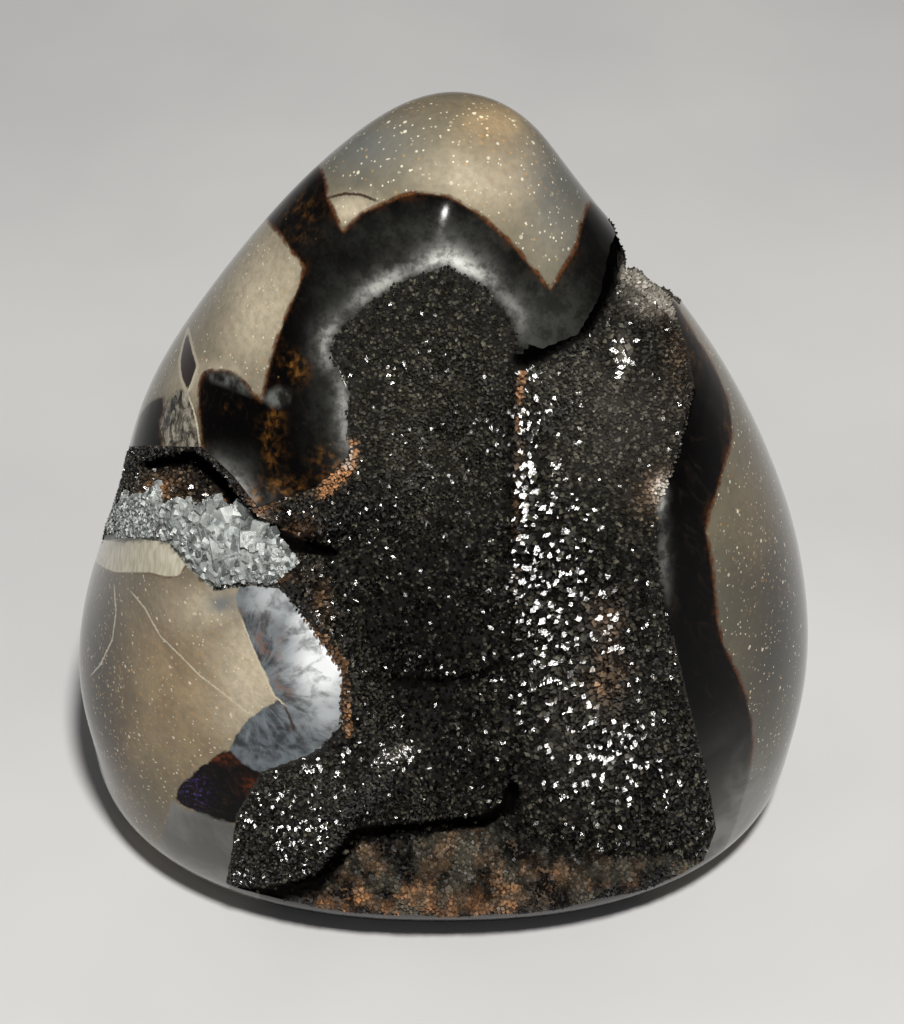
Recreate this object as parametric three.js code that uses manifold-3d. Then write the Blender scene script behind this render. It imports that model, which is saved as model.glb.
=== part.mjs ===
// A polished septarian nodule: an egg-shaped stone on a flat base, open at the front into a
// hollow that is lined with one crust of small dark crystals, with a cluster of pale calcite
// blocks on the sill of a side fissure.
//
// Millimetres, +Z up, the hollow opens towards -Y. The origin is the centre of the footprint's
// bounding box, on the resting plane.
//
// The hollow is worked out in a frame of its own: u runs across it (along X), v runs up its
// mouth, and w runs into the rock, dipping below the horizontal. A surface of the hollow is then
// a depth w for each (u, v).
import * as THREE from "three";
import { mergeVertices } from "three/addons/utils/BufferGeometryUtils.js";
import Module from "manifold-3d";

const wasm = await Module();
wasm.setup();

// ---------- driving dimensions ----------

// The polished outside, as level sections from the base up to the tip.
// Each is [height, half width, offset in X, half depth, offset in Y].
const SECTIONS = [
  [0, 37, 0.2, 28, 0],
  [5, 43.6, -0.4, 31.5, -0.5],
  [12, 45, -0.3, 34.2, -0.5],
  [21, 45.7, -0.2, 34.5, -0.5],
  [33, 43.9, 0.5, 34, -1],
  [47, 39.9, 0.8, 31.5, -2.5],
  [61, 35.2, 0, 27.5, -3.5],
  [75, 27.8, -0.3, 22, -4],
  [87, 19.8, -0.6, 16.5, -4.5],
  [97, 12.6, 0.3, 11, -4.5],
  [102.5, 7, 1.2, 6.8, -4.5],
  [105, 0, 0.8, 0, -4.5],
];
const HEIGHT = SECTIONS[SECTIONS.length - 1][0];
const SQUARENESS_AT_BASE = 2.3; // exponent of the section's superellipse; 2 is an ellipse
const SQUARENESS_AT_TIP = 1.9;
const RINGS = 25;
const RING_POINTS = 44;

const DIP = THREE.MathUtils.degToRad(43); // of the hollow's axis, below the horizontal
const AXIS_SHIFT = 4; // the hollow's frame is centred this far in front of the origin, in Y

// The hollow's mouth on the polished outside, clockwise from its lower right corner. Each corner
// is [u, v, slope, lip, shelf]: the wall sinks from the rim at this slope, starts with a round
// lip of this radius, and falls away as a cliff once it is past the shelf's width.
const WIDE = 60; // a shelf with no cliff
const MOUTH = [
  [33, -30, 1.6, 0, WIDE],
  [32, -8, 1.5, 0, WIDE],
  [33, -4, 1.3, 0, WIDE],
  [31, 4, 1.3, 0.4, WIDE],
  [28, 13, 1.4, 0.6, WIDE],
  [25.3, 22.5, 1.5, 1, WIDE],
  [24, 30, 1.5, 1.5, WIDE],
  [24, 34.5, 1.3, 2, WIDE],
  [26.3, 40.5, 1, 1.5, WIDE],
  [28, 47.5, 0.8, 1, WIDE],
  [27.5, 51.5, 0.7, 0.5, WIDE],
  [25.5, 58, 0.8, 0, WIDE],
  [27, 63, 1, 0, WIDE],
  [21, 69, 3, 0, WIDE],
  [18, 63, 5, 0.2, WIDE],
  [16.7, 57.3, 5, 0.2, WIDE],
  [14.3, 53.2, 5, 0.2, WIDE],
  [10.5, 51.6, 4, 0.3, WIDE],
  [8.2, 52.2, 1.6, 1.5, WIDE],
  [8.2, 54.5, 1.4, 3, WIDE],
  [5, 58.3, 1.2, 4, WIDE],
  [0.5, 60.8, 1.2, 4, WIDE],
  [-3.5, 59.5, 1.2, 4, WIDE],
  [-8, 57, 1.2, 3.5, WIDE],
  [-12, 53.3, 1.3, 3, WIDE],
  [-12.5, 51, 1.5, 3, WIDE],
  [-10.5, 47, 1.8, 2.5, WIDE],
  [-10.5, 42.5, 2, 1.5, WIDE],
  [-10, 40.5, 2, 0.8, WIDE],
  [-13.7, 37, 2.2, 0.5, 3],
  [-20, 35, 3, 0.3, 1],
  [-23, 38.5, 4, 0.2, 1],
  [-26.5, 41.6, 3.5, 0.2, 1],
  [-38, 42, 1.5, 0.2, 3],
  [-50, 42, 0.5, 0.2, 12],
  [-50, 30.5, 0.6, 0.2, 12],
  [-36, 31.3, 0.65, 0.2, 10],
  [-31, 31, 0.55, 0.2, 9],
  [-28.5, 28, 0.5, 0.2, 9.5],
  [-25.3, 25.5, 0.6, 0.2, 9],
  [-21, 26.2, 0.8, 0.3, 6],
  [-18, 26, 1.2, 0.8, 2.5],
  [-15, 21.5, 1.8, 1.8, 1.5],
  [-11.7, 16.5, 2.2, 2, 1],
  [-12, 10.5, 1.6, 1.5, 3],
  [-15, 7, 0.9, 0.8, 7.5],
  [-21, 4.5, 0.7, 0.5, 10.5],
  [-24.5, -1.3, 0.7, 0.3, 11],
  [-25.3, -6, 0.8, 0.2, 8.5],
  [-26.5, -10.5, 1, 0.2, 3],
  [-28, -30, 4, 0.2, 0],
];
const CLIFF = 6; // slope of a cliff

// The back of the hollow, as rows from the top of the mouth down. Each row is v, then how far
// the wall lies behind the outside at each of these u. The wall folds at the third of them.
const BACK_U = [-14, -4, 7, 17, 28];
const BACK_ROWS = [
  [64, 2, 2, 3, 2.6, 2],
  [56, 4, 6, 6, 3.6, 2.4],
  [51, 6, 9, 8.5, 6, 3],
  [46, 7, 11, 13, 9, 4],
  [36, 8.5, 15.5, 19, 13, 5.5],
  [25, 12, 19, 23.5, 15.5, 5],
  [14, 13, 20.5, 25, 17, 6],
  [6, 11, 16.5, 23, 16.5, 6.5],
  [-2, 10, 15, 20, 15, 6.5],
  [-12, 8, 13, 16, 12, 6],
];

// The lower edge of the back wall's mass. Below it the rock is undercut down to the floor.
const UNDERCUT = [
  [-40, -11.6],
  [-26, -11.4],
  [-20, -10.8],
  [-15, -9.6],
  [-12.6, -6],
  [-11, -3.6],
  [-2, -3],
  [5, -2.6],
  [7.4, -1],
  [8.2, 1.5],
  [9.5, -40],
  [40, -40],
];

// The floor of the hollow, as a plane.
const FLOOR_Z = 7.5; // its height at its front edge
const FLOOR_RISE = 0.1; // how far it climbs for each millimetre towards the back
const FLOOR_FRONT_Y = -32;

// The notch where the fissure beside the top block breaks through the right shoulder.
const NOTCH = [
  [18, 66.5],
  [19.5, 63.8],
  [19.1, 61],
  [20, 60.1],
  [21.3, 60.8],
  [23, 59.3],
  [25.4, 59],
  [26.6, 57.8],
  [32, 66],
  [22, 76],
];
const NOTCH_SLOPE = 14;

// Rounded dents and swellings of the wall: [u, v, radius in u, radius in v, height].
const SWELLINGS = [
  [3, 15.2, 4.5, 1.1, -3.5],
  [-3, 7, 8, 6, 1.5],
  [-4, 24, 5, 6, 1.2],
  [14, 42, 7, 6, 1.2],
  [20, 9, 6, 7, 1],
  [-18, -3, 5, 5, 0.8],
];

// Uneven ground on the walls: each wave is [amplitude, length, direction in degrees, phase].
const WAVES = [
  [0.45, 14, 20, 0.4],
  [0.35, 9.5, 105, 2.1],
  [0.3, 7.3, 65, 4],
  [0.25, 5.9, 150, 1.2],
];
const BLEND = 2; // width over which one part of the wall rounds into the next

const SEAM = 0.3; // clearance between the crust, the calcite and the stone
const CRUST_THICKNESS = 1.3;
const CRYSTAL_HEIGHT = 1.5;
const STRAY = 0.28; // how far a crystal's corners stray from an even grid, in grid steps
const MOST_LEAN = 0.18; // how far its tip leans out sideways, in grid steps
const LIP_WITHOUT_CRUST = 1.2; // the bare width of a lip, in lip radii

// The grid over the hollow.
const GRID = { fromU: -52, toU: 36, fromV: -22, toV: 72, step: 2.45 };
const IN_FRONT = -110; // w well in front of the stone
const BEHIND = 90; // w well behind it

// Pale calcite blocks: [u, v, height above the sill, width, depth, thickness, turn in degrees].
const CALCITE_BLOCKS = [
  [-22.6, 30, 1.4, 8.4, 7.6, 3.4, 20],
  [-26.8, 29.2, 0.9, 5.5, 4.5, 3.4, 65],
  [-28.6, 32.8, 0.9, 6, 5, 3.2, 10],
  [-30.8, 32.6, 0.8, 6, 4.5, 3, 165],
  [-32.8, 33.8, 0.8, 5.5, 5.4, 4, 40],
  [-34.2, 33.2, 0.7, 5, 5.8, 5, 100],
  [-35.6, 33, 0.6, 4.6, 5.4, 5, 20],
  [-37, 33.4, 0.5, 4, 6, 5, 75],
  [-25.6, 33, 0.9, 4.5, 4, 3, 30],
  [-19, 29.2, 1, 4, 4.4, 3, 50],
  [-24.4, 26.4, 1, 4.6, 3.2, 2.8, 5],
  [-20.4, 26.9, 0.9, 4, 3, 2.8, 70],
];
const CALCITE_ABOVE_OUTSIDE = 0.3;
const SILL = { u: -29, v: 30.3, halfU: 11, halfV: 4.2 }; // the ellipse that the calcite covers

// Colours, roughness
const STONE = { color: 0x8d8373, roughness: 0.15, metalness: 0 };
const DRUSE = { color: 0x1d1b19, roughness: 0.3, metalness: 0 };
const CALCITE = { color: 0xaeb4b6, roughness: 0.2, metalness: 0 };

// ---------- curves and fields ----------

// A natural cubic spline through (xs, ys), as a function of x.
function spline(xs, ys) {
  const n = xs.length;
  const step = xs.slice(1).map((x, i) => x - xs[i]);
  const upper = new Array(n).fill(0);
  const right = new Array(n).fill(0);
  for (let i = 1; i < n - 1; i++) {
    const pull = 6 * ((ys[i + 1] - ys[i]) / step[i] - (ys[i] - ys[i - 1]) / step[i - 1]);
    const pivot = 2 * (step[i - 1] + step[i]) - step[i - 1] * upper[i - 1];
    upper[i] = step[i] / pivot;
    right[i] = (pull - step[i - 1] * right[i - 1]) / pivot;
  }
  const bend = new Array(n).fill(0);
  for (let i = n - 2; i > 0; i--) bend[i] = right[i] - upper[i] * bend[i + 1];
  return (x) => {
    let i = 0;
    while (i < n - 2 && x > xs[i + 1]) i++;
    const before = x - xs[i];
    const after = xs[i + 1] - x;
    return (
      (bend[i] * after ** 3 + bend[i + 1] * before ** 3) / (6 * step[i]) +
      (ys[i] / step[i] - (bend[i] * step[i]) / 6) * after +
      (ys[i + 1] / step[i] - (bend[i + 1] * step[i]) / 6) * before
    );
  };
}

// The outside's section at a distance along the profile, from the base's rim to the tip.
const along = [0];
for (let i = 1; i < SECTIONS.length; i++) {
  const rise = SECTIONS[i][0] - SECTIONS[i - 1][0];
  const run = SECTIONS[i][1] - SECTIONS[i - 1][1];
  along.push(along[i - 1] + Math.hypot(rise, run));
}
const PROFILE_LENGTH = along[along.length - 1];
const columns = [0, 1, 2, 3, 4].map((k) => spline(along, SECTIONS.map((s) => s[k])));
function sectionAlong(t) {
  const [z, halfX, x, halfY, y] = columns.map((column) => column(t));
  return { z, halfX: Math.max(halfX, 0), x, halfY: Math.max(halfY, 0), y };
}

// The same sections by height, read from a fine table.
const TABLE = Array.from({ length: 1200 }, (_, i) => sectionAlong((PROFILE_LENGTH * i) / 1199));
function sectionAt(z) {
  let low = 0;
  let high = TABLE.length - 1;
  while (high - low > 1) {
    const middle = (low + high) >> 1;
    if (TABLE[middle].z <= z) low = middle;
    else high = middle;
  }
  return TABLE[low];
}

function squareness(z) {
  return SQUARENESS_AT_BASE + (SQUARENESS_AT_TIP - SQUARENESS_AT_BASE) * (z / HEIGHT);
}

// Below 0 inside the stone's outside, above 0 outside it.
function outsideness(x, y, z) {
  if (z < 0) return 1000 - z;
  if (z > HEIGHT) return 1000 + z - HEIGHT;
  const s = sectionAt(z);
  const n = squareness(z);
  const across = Math.abs((x - s.x) / Math.max(s.halfX, 0.001)) ** n;
  return across + Math.abs((y - s.y) / Math.max(s.halfY, 0.001)) ** n - 1;
}

const SIN = Math.sin(DIP);
const COS = Math.cos(DIP);
function toBody(u, v, w) {
  return [u, v * SIN + w * COS - AXIS_SHIFT, v * COS - w * SIN];
}

// How deep along w the stone's front lies, or where the line passes nearest to the stone.
function frontDepth(u, v) {
  const at = (w) => outsideness(...toBody(u, v, w));
  const stride = 2;
  let nearest = IN_FRONT;
  let least = Infinity;
  for (let w = IN_FRONT; w < BEHIND; w += stride) {
    const out = at(w);
    if (out < 0) {
      let [before, inside] = [w - stride, w];
      for (let i = 0; i < 24; i++) {
        const middle = (before + inside) / 2;
        if (at(middle) < 0) inside = middle;
        else before = middle;
      }
      return inside;
    }
    if (out < least) [least, nearest] = [out, w];
  }
  return nearest;
}

const mix = (a, b, t) => a + (b - a) * t;
function smoothstep(from, to, x) {
  const t = THREE.MathUtils.clamp((x - from) / (to - from), 0, 1);
  return t * t * (3 - 2 * t);
}

// Goes round a closed outline: whether (u, v) is inside, and each side's distance and share.
function aroundOutline(outline, u, v, visit) {
  let inside = false;
  for (let i = 0; i < outline.length; i++) {
    const a = outline[i];
    const b = outline[(i + 1) % outline.length];
    const du = b[0] - a[0];
    const dv = b[1] - a[1];
    const t = THREE.MathUtils.clamp(
      ((u - a[0]) * du + (v - a[1]) * dv) / (du * du + dv * dv), 0, 1,
    );
    visit(Math.hypot(u - a[0] - t * du, v - a[1] - t * dv), a, b, t);
    if (a[1] > v !== b[1] > v && u < a[0] + ((v - a[1]) / dv) * du) inside = !inside;
  }
  return inside;
}

// How far the wall has sunk below the outside at (u, v); negative outside the mouth.
function rimDepth(u, v) {
  let depth = Infinity;
  let gap = Infinity;
  let bare = 0;
  const inside = aroundOutline(MOUTH, u, v, (distance, a, b, t) => {
    const slope = mix(a[2], b[2], t);
    const lip = mix(a[3], b[3], t);
    const shelf = mix(a[4], b[4], t);
    const sunk = slope * (Math.hypot(distance, lip) - lip);
    depth = Math.min(depth, sunk + CLIFF * Math.max(0, distance - shelf));
    if (distance < gap) [gap, bare] = [distance, lip];
  });
  return { depth: inside ? depth : -2 * gap - 0.15 * gap * gap, gap, bare };
}

function notchDepth(u, v) {
  let gap = Infinity;
  const inside = aroundOutline(NOTCH, u, v, (distance) => {
    gap = Math.min(gap, distance);
  });
  return (inside ? 1 : -1) * gap * NOTCH_SLOPE;
}

// How far the wall stands towards the mouth at (u, v), apart from its main form.
function relief(u, v) {
  let height = 0;
  for (const [amplitude, length, direction, phase] of WAVES) {
    const turn = THREE.MathUtils.degToRad(direction);
    const along = u * Math.cos(turn) + v * Math.sin(turn);
    const across = v * Math.cos(turn) - u * Math.sin(turn);
    const bent = along + 0.35 * length * Math.sin((3.7 * across) / length + 2 * phase);
    height += amplitude * Math.sin((2 * Math.PI * bent) / length + phase);
  }
  for (const [su, sv, radiusU, radiusV, rise] of SWELLINGS)
    height += rise * Math.exp(-(((u - su) / radiusU) ** 2) - ((v - sv) / radiusV) ** 2);
  return height;
}

const backColumns = BACK_U.map((_, k) => {
  const upwards = BACK_ROWS.toReversed();
  return spline(upwards.map((row) => row[0]), upwards.map((row) => row[k + 1]));
});
function backDepth(u, v) {
  const height = THREE.MathUtils.clamp(v, BACK_ROWS.at(-1)[0], BACK_ROWS[0][0]);
  return valueAt(BACK_U, backColumns.map((column) => column(height)), u);
}

// The value at x on the line through the points (xs, ys), level past both ends.
function valueAt(xs, ys, x) {
  if (x <= xs[0]) return ys[0];
  for (let i = 1; i < xs.length; i++)
    if (x < xs[i]) return mix(ys[i - 1], ys[i], (x - xs[i - 1]) / (xs[i] - xs[i - 1]));
  return ys.at(-1);
}

function undercutBelow(u, v) {
  const edge = valueAt(UNDERCUT.map((p) => p[0]), UNDERCUT.map((p) => p[1]), u);
  return CLIFF * Math.max(0, edge - v);
}

function floorDepth(u, v) {
  const y = -AXIS_SHIFT - FLOOR_FRONT_Y;
  return (v * (COS - FLOOR_RISE * SIN) - FLOOR_Z - FLOOR_RISE * y) / (SIN + FLOOR_RISE * COS);
}

// The lesser of two depths, rounded where they cross.
function blend(a, b) {
  const near = Math.max(BLEND - Math.abs(a - b), 0) / BLEND;
  return Math.min(a, b) - (near * near * BLEND) / 4;
}

// The stone's wall in the hollow.
function wallDepth(u, v) {
  const front = frontDepth(u, v);
  const rim = rimDepth(u, v);
  const steep = smoothstep(0.5, 6, rim.depth);
  const wall = rim.depth > 0 ? blend(rim.depth, backDepth(u, v)) : rim.depth;
  const rock = front + wall + undercutBelow(u, v);
  const hollow = Math.min(rock, floorDepth(u, v)) - relief(u, v) * steep;
  return Math.max(hollow, front + notchDepth(u, v));
}

// ---------- solids ----------

function toManifold(geometry) {
  const bare = new THREE.BufferGeometry();
  bare.setAttribute("position", geometry.getAttribute("position"));
  bare.setIndex(geometry.index);
  const merged = mergeVertices(bare, 1e-4);
  return new wasm.Manifold(
    new wasm.Mesh({
      numProp: 3,
      vertProperties: new Float32Array(merged.attributes.position.array),
      triVerts: new Uint32Array(merged.index.array),
    }),
  );
}

function toGeometry(solid) {
  const { numProp, numVert, vertProperties, triVerts } = solid.getMesh();
  const position = new Float32Array(numVert * 3);
  for (let i = 0; i < numVert; i++)
    position.set(vertProperties.subarray(i * numProp, i * numProp + 3), i * 3);
  const geometry = new THREE.BufferGeometry();
  geometry.setAttribute("position", new THREE.BufferAttribute(position, 3));
  geometry.setIndex(new THREE.BufferAttribute(new Uint32Array(triVerts), 1));
  geometry.computeVertexNormals();
  return geometry;
}

function fromPoints(points, triangles) {
  const geometry = new THREE.BufferGeometry();
  geometry.setAttribute("position", new THREE.Float32BufferAttribute(points.flat(), 3));
  geometry.setIndex(triangles.flat());
  return toManifold(geometry);
}

function largest(solid) {
  return solid.decompose().sort((a, b) => b.volume() - a.volume())[0];
}

// The whole stone before the hollow is cut, drawn in by `inset` all round but for its base.
function outside(inset) {
  const points = [];
  const triangles = [];
  for (let ring = 0; ring < RINGS; ring++) {
    const share = ring / RINGS;
    const s = sectionAlong(PROFILE_LENGTH * share);
    const n = squareness(s.z);
    for (let k = 0; k < RING_POINTS; k++) {
      const angle = (2 * Math.PI * k) / RING_POINTS;
      const [c, d] = [Math.cos(angle), Math.sin(angle)];
      points.push([
        s.x + (s.halfX - inset) * Math.sign(c) * Math.abs(c) ** (2 / n),
        s.y + (s.halfY - inset) * Math.sign(d) * Math.abs(d) ** (2 / n),
        s.z,
      ]);
    }
  }
  const foot = points.push([SECTIONS[0][2], SECTIONS[0][4], 0]) - 1;
  const tip = points.push([SECTIONS.at(-1)[2], SECTIONS.at(-1)[4], HEIGHT - inset]) - 1;
  const top = (RINGS - 1) * RING_POINTS;
  for (let k = 0; k < RING_POINTS; k++) {
    const next = (k + 1) % RING_POINTS;
    triangles.push([foot, next, k], [tip, top + k, top + next]);
    for (let ring = 0; ring < RINGS - 1; ring++) {
      const [a, b] = [ring * RING_POINTS + k, ring * RING_POINTS + next];
      triangles.push([a, b, b + RING_POINTS], [a, b + RING_POINTS, a + RING_POINTS]);
    }
  }
  return fromPoints(points, triangles);
}

const COUNT_U = Math.round((GRID.toU - GRID.fromU) / GRID.step) + 1;
const COUNT_V = Math.round((GRID.toV - GRID.fromV) / GRID.step) + 1;
const gridU = (i) => GRID.fromU + i * GRID.step;
const gridV = (j) => GRID.fromV + j * GRID.step;
function onGrid(depthAt) {
  return Array.from({ length: COUNT_V }, (_, j) =>
    Array.from({ length: COUNT_U }, (_, i) => depthAt(i, j)),
  );
}

// A value between grid points.
function sample(face, u, v) {
  const fi = THREE.MathUtils.clamp((u - GRID.fromU) / GRID.step, 0, COUNT_U - 1.001);
  const fj = THREE.MathUtils.clamp((v - GRID.fromV) / GRID.step, 0, COUNT_V - 1.001);
  const [i, j] = [Math.floor(fi), Math.floor(fj)];
  const low = mix(face[j][i], face[j][i + 1], fi - i);
  const high = mix(face[j + 1][i], face[j + 1][i + 1], fi - i);
  return mix(low, high, fj - j);
}

// The face that a ball of this radius would leave if it rolled over the wall.
function grown(face, radius) {
  const samples = 4;
  return onGrid((i, j) => {
    let least = Infinity;
    for (let dj = -samples; dj <= samples; dj++)
      for (let di = -samples; di <= samples; di++) {
        const away = (Math.hypot(di, dj) / samples) * radius;
        if (away > radius) continue;
        const u = gridU(i) + (di / samples) * radius;
        const v = gridV(j) + (dj / samples) * radius;
        const there = sample(face, u, v);
        least = Math.min(least, there - Math.sqrt(radius ** 2 - away ** 2));
      }
    return least;
  });
}

// A number from 0 to 1 that is fixed for each pair of whole numbers.
function scatter(i, j, salt) {
  const x = Math.sin(i * 127.1 + j * 311.7 + salt * 74.7) * 43758.5453;
  return x - Math.floor(x);
}

// Everything in front of a face given as depths on the grid. With crystals, the face's corners
// are scattered and each cell rises to a point.
function inFrontOf(face, crystalHeight = 0) {
  const points = [];
  const triangles = [];
  const at = (i, j) => j * COUNT_U + i;
  for (let j = 0; j < COUNT_V; j++)
    for (let i = 0; i < COUNT_U; i++) {
      const inner = i > 0 && j > 0 && i < COUNT_U - 1 && j < COUNT_V - 1;
      const stray = crystalHeight && inner ? STRAY * GRID.step : 0;
      const u = gridU(i) + stray * (2 * scatter(i, j, 7) - 1);
      const v = gridV(j) + stray * (2 * scatter(i, j, 8) - 1);
      points.push([u, v, sample(face, u, v)]);
    }
  const front = COUNT_U * COUNT_V;
  for (let k = 0; k < front; k++) points.push([points[k][0], points[k][1], IN_FRONT]);
  for (let j = 0; j < COUNT_V - 1; j++)
    for (let i = 0; i < COUNT_U - 1; i++) {
      const cell = [at(i, j), at(i, j + 1), at(i + 1, j + 1), at(i + 1, j)];
      if (crystalHeight) {
        const corners = cell.map((k) => points[k]);
        const apex = points.push(crystalTip(corners, crystalHeight, i, j)) - 1;
        cell.forEach((k, n) => triangles.push([k, cell[(n + 1) % 4], apex]));
      } else triangles.push([cell[0], cell[1], cell[2]], [cell[0], cell[2], cell[3]]);
      const [a, b, c, d] = cell.map((k) => k + front);
      triangles.push([a, c, b], [a, d, c]);
    }
  const side = (k, l) => triangles.push([k, l, l + front], [k, l + front, k + front]);
  for (let i = 0; i < COUNT_U - 1; i++) {
    side(at(i, 0), at(i + 1, 0));
    side(at(i + 1, COUNT_V - 1), at(i, COUNT_V - 1));
  }
  for (let j = 0; j < COUNT_V - 1; j++) {
    side(at(0, j + 1), at(0, j));
    side(at(COUNT_U - 1, j), at(COUNT_U - 1, j + 1));
  }
  return fromPoints(points.map((p) => toBody(...p)), triangles);
}

// The point of the crystal that stands on one cell of the crust. It leans out along the face's
// normal, but stays over its own cell.
function crystalTip(corners, height, i, j) {
  const [a, b, c, d] = corners.map((p) => new THREE.Vector3(...p));
  const normal = d.clone().sub(b).cross(c.clone().sub(a)).normalize();
  const tall = height * (0.6 + 0.8 * scatter(i, j, 5));
  const middle = a.add(b).add(c).add(d).multiplyScalar(0.25);
  const lean = Math.hypot(normal.x, normal.y) * tall;
  const kept = Math.min(1, (MOST_LEAN * GRID.step) / Math.max(lean, 1e-6));
  const off = (salt) => (scatter(i, j, salt) - 0.5) * 0.2 * GRID.step;
  return [
    middle.x + normal.x * tall * kept + off(1),
    middle.y + normal.y * tall * kept + off(2),
    middle.z - tall * Math.hypot(normal.z, 1 - kept),
  ];
}

// The pale calcite on the fissure's sill: blocks with flat faces, grown into one another.
function calciteBlocks(wallAt, grow) {
  const solids = CALCITE_BLOCKS.map(([u, v, above, width, depth, thick, turn], k) => {
    const block = new THREE.BoxGeometry(width + grow, depth + grow, thick + grow).toNonIndexed();
    block.rotateZ(THREE.MathUtils.degToRad(turn));
    block.rotateX(THREE.MathUtils.degToRad(20 + 30 * scatter(k, 1, 1)));
    block.rotateY(THREE.MathUtils.degToRad(50 * scatter(k, 2, 2) - 25));
    block.translate(...toBody(u, v, wallAt(u, v) - above));
    return toManifold(mergeVertices(block));
  });
  return solids.reduce((all, solid) => all.add(solid));
}

// ---------- the object ----------

const wall = onGrid((i, j) => wallDepth(gridU(i), gridV(j)));
const rims = onGrid((i, j) => rimDepth(gridU(i), gridV(j)));
const coated = grown(wall, CRUST_THICKNESS);
// The crust thins out on the bare lips and in the notch, and leaves the sill to the calcite.
const crustFace = onGrid((i, j) => {
  const [u, v] = [gridU(i), gridV(j)];
  const { gap, bare } = rims[j][i];
  const lip = 1 - smoothstep(0.5, 1, gap / Math.max(bare * LIP_WITHOUT_CRUST, 0.01));
  const sill = 1 - smoothstep(0.8, 1.1, Math.hypot((u - SILL.u) / SILL.halfU, (v - SILL.v) / SILL.halfV));
  const notch = smoothstep(-2.5 * NOTCH_SLOPE, -NOTCH_SLOPE, notchDepth(u, v));
  return mix(coated[j][i], wall[j][i] + 1, Math.max(lip, sill, notch));
});

const hollow = inFrontOf(wall);
const lined = inFrontOf(wall.map((row) => row.map((w) => w - SEAM)));
const nodule = largest(outside(0).subtract(hollow));
const calcite = largest(
  calciteBlocks(wallDepth, 0).intersect(lined).intersect(outside(-CALCITE_ABOVE_OUTSIDE)),
);
const crust = largest(
  lined
    .subtract(inFrontOf(crustFace, CRYSTAL_HEIGHT))
    .intersect(outside(SEAM))
    .subtract(calciteBlocks(wallDepth, 2 * SEAM)),
);

const part = new THREE.Group();
function addPiece(name, solid, look) {
  const mesh = new THREE.Mesh(toGeometry(solid), new THREE.MeshStandardMaterial(look));
  mesh.name = name;
  part.add(mesh);
}
addPiece("nodule", nodule, STONE);
addPiece("druzy_crust", crust, DRUSE);
addPiece("pale_calcite", calcite, CALCITE);

export default part;
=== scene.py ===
"""The looks of the polished septarian nodule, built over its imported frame.

Sizes and places are millimetres, and meshes are made in metres. As in the part's source, the
hollow has a frame of its own: u runs across it, v up its mouth and w into the rock.
"""

import math

import bpy
import numpy as np
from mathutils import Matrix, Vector


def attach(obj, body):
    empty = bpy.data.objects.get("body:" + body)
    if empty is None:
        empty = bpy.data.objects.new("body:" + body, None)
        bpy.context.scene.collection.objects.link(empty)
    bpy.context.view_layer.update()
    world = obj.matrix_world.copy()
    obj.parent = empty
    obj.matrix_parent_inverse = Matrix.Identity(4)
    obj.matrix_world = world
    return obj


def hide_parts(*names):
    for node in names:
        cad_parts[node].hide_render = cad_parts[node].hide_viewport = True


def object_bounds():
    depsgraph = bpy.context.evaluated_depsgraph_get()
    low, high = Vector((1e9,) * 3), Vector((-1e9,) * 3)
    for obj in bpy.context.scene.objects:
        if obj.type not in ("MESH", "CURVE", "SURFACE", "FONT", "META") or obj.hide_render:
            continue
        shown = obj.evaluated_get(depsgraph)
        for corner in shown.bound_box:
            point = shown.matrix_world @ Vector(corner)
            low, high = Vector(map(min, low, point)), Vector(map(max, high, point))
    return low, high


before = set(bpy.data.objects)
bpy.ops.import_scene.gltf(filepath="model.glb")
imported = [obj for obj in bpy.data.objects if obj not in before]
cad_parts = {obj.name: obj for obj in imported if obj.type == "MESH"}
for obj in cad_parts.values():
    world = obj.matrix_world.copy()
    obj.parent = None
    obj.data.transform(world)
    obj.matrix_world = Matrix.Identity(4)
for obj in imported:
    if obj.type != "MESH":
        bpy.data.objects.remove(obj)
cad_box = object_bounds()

RANDOM = np.random.default_rng(11)
MM = 0.001

# ---------- the stone's form, with the names and values of the part's source ----------

# Level sections: height, half width, offset in X, half depth, offset in Y.
SECTIONS = np.array([
    [0, 37, 0.2, 28, 0], [5, 43.6, -0.4, 31.5, -0.5], [12, 45, -0.3, 34.2, -0.5],
    [21, 45.7, -0.2, 34.5, -0.5], [33, 43.9, 0.5, 34, -1], [47, 39.9, 0.8, 31.5, -2.5],
    [61, 35.2, 0, 27.5, -3.5], [75, 27.8, -0.3, 22, -4], [87, 19.8, -0.6, 16.5, -4.5],
    [97, 12.6, 0.3, 11, -4.5], [102.5, 7, 1.2, 6.8, -4.5], [105, 0, 0.8, 0, -4.5],
])
HEIGHT = SECTIONS[-1, 0]
SQUARENESS_AT_BASE = 2.3
SQUARENESS_AT_TIP = 1.9
DIP = math.radians(43)
SIN, COS = math.sin(DIP), math.cos(DIP)
AXIS_SHIFT = 4

WIDE = 60
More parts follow.
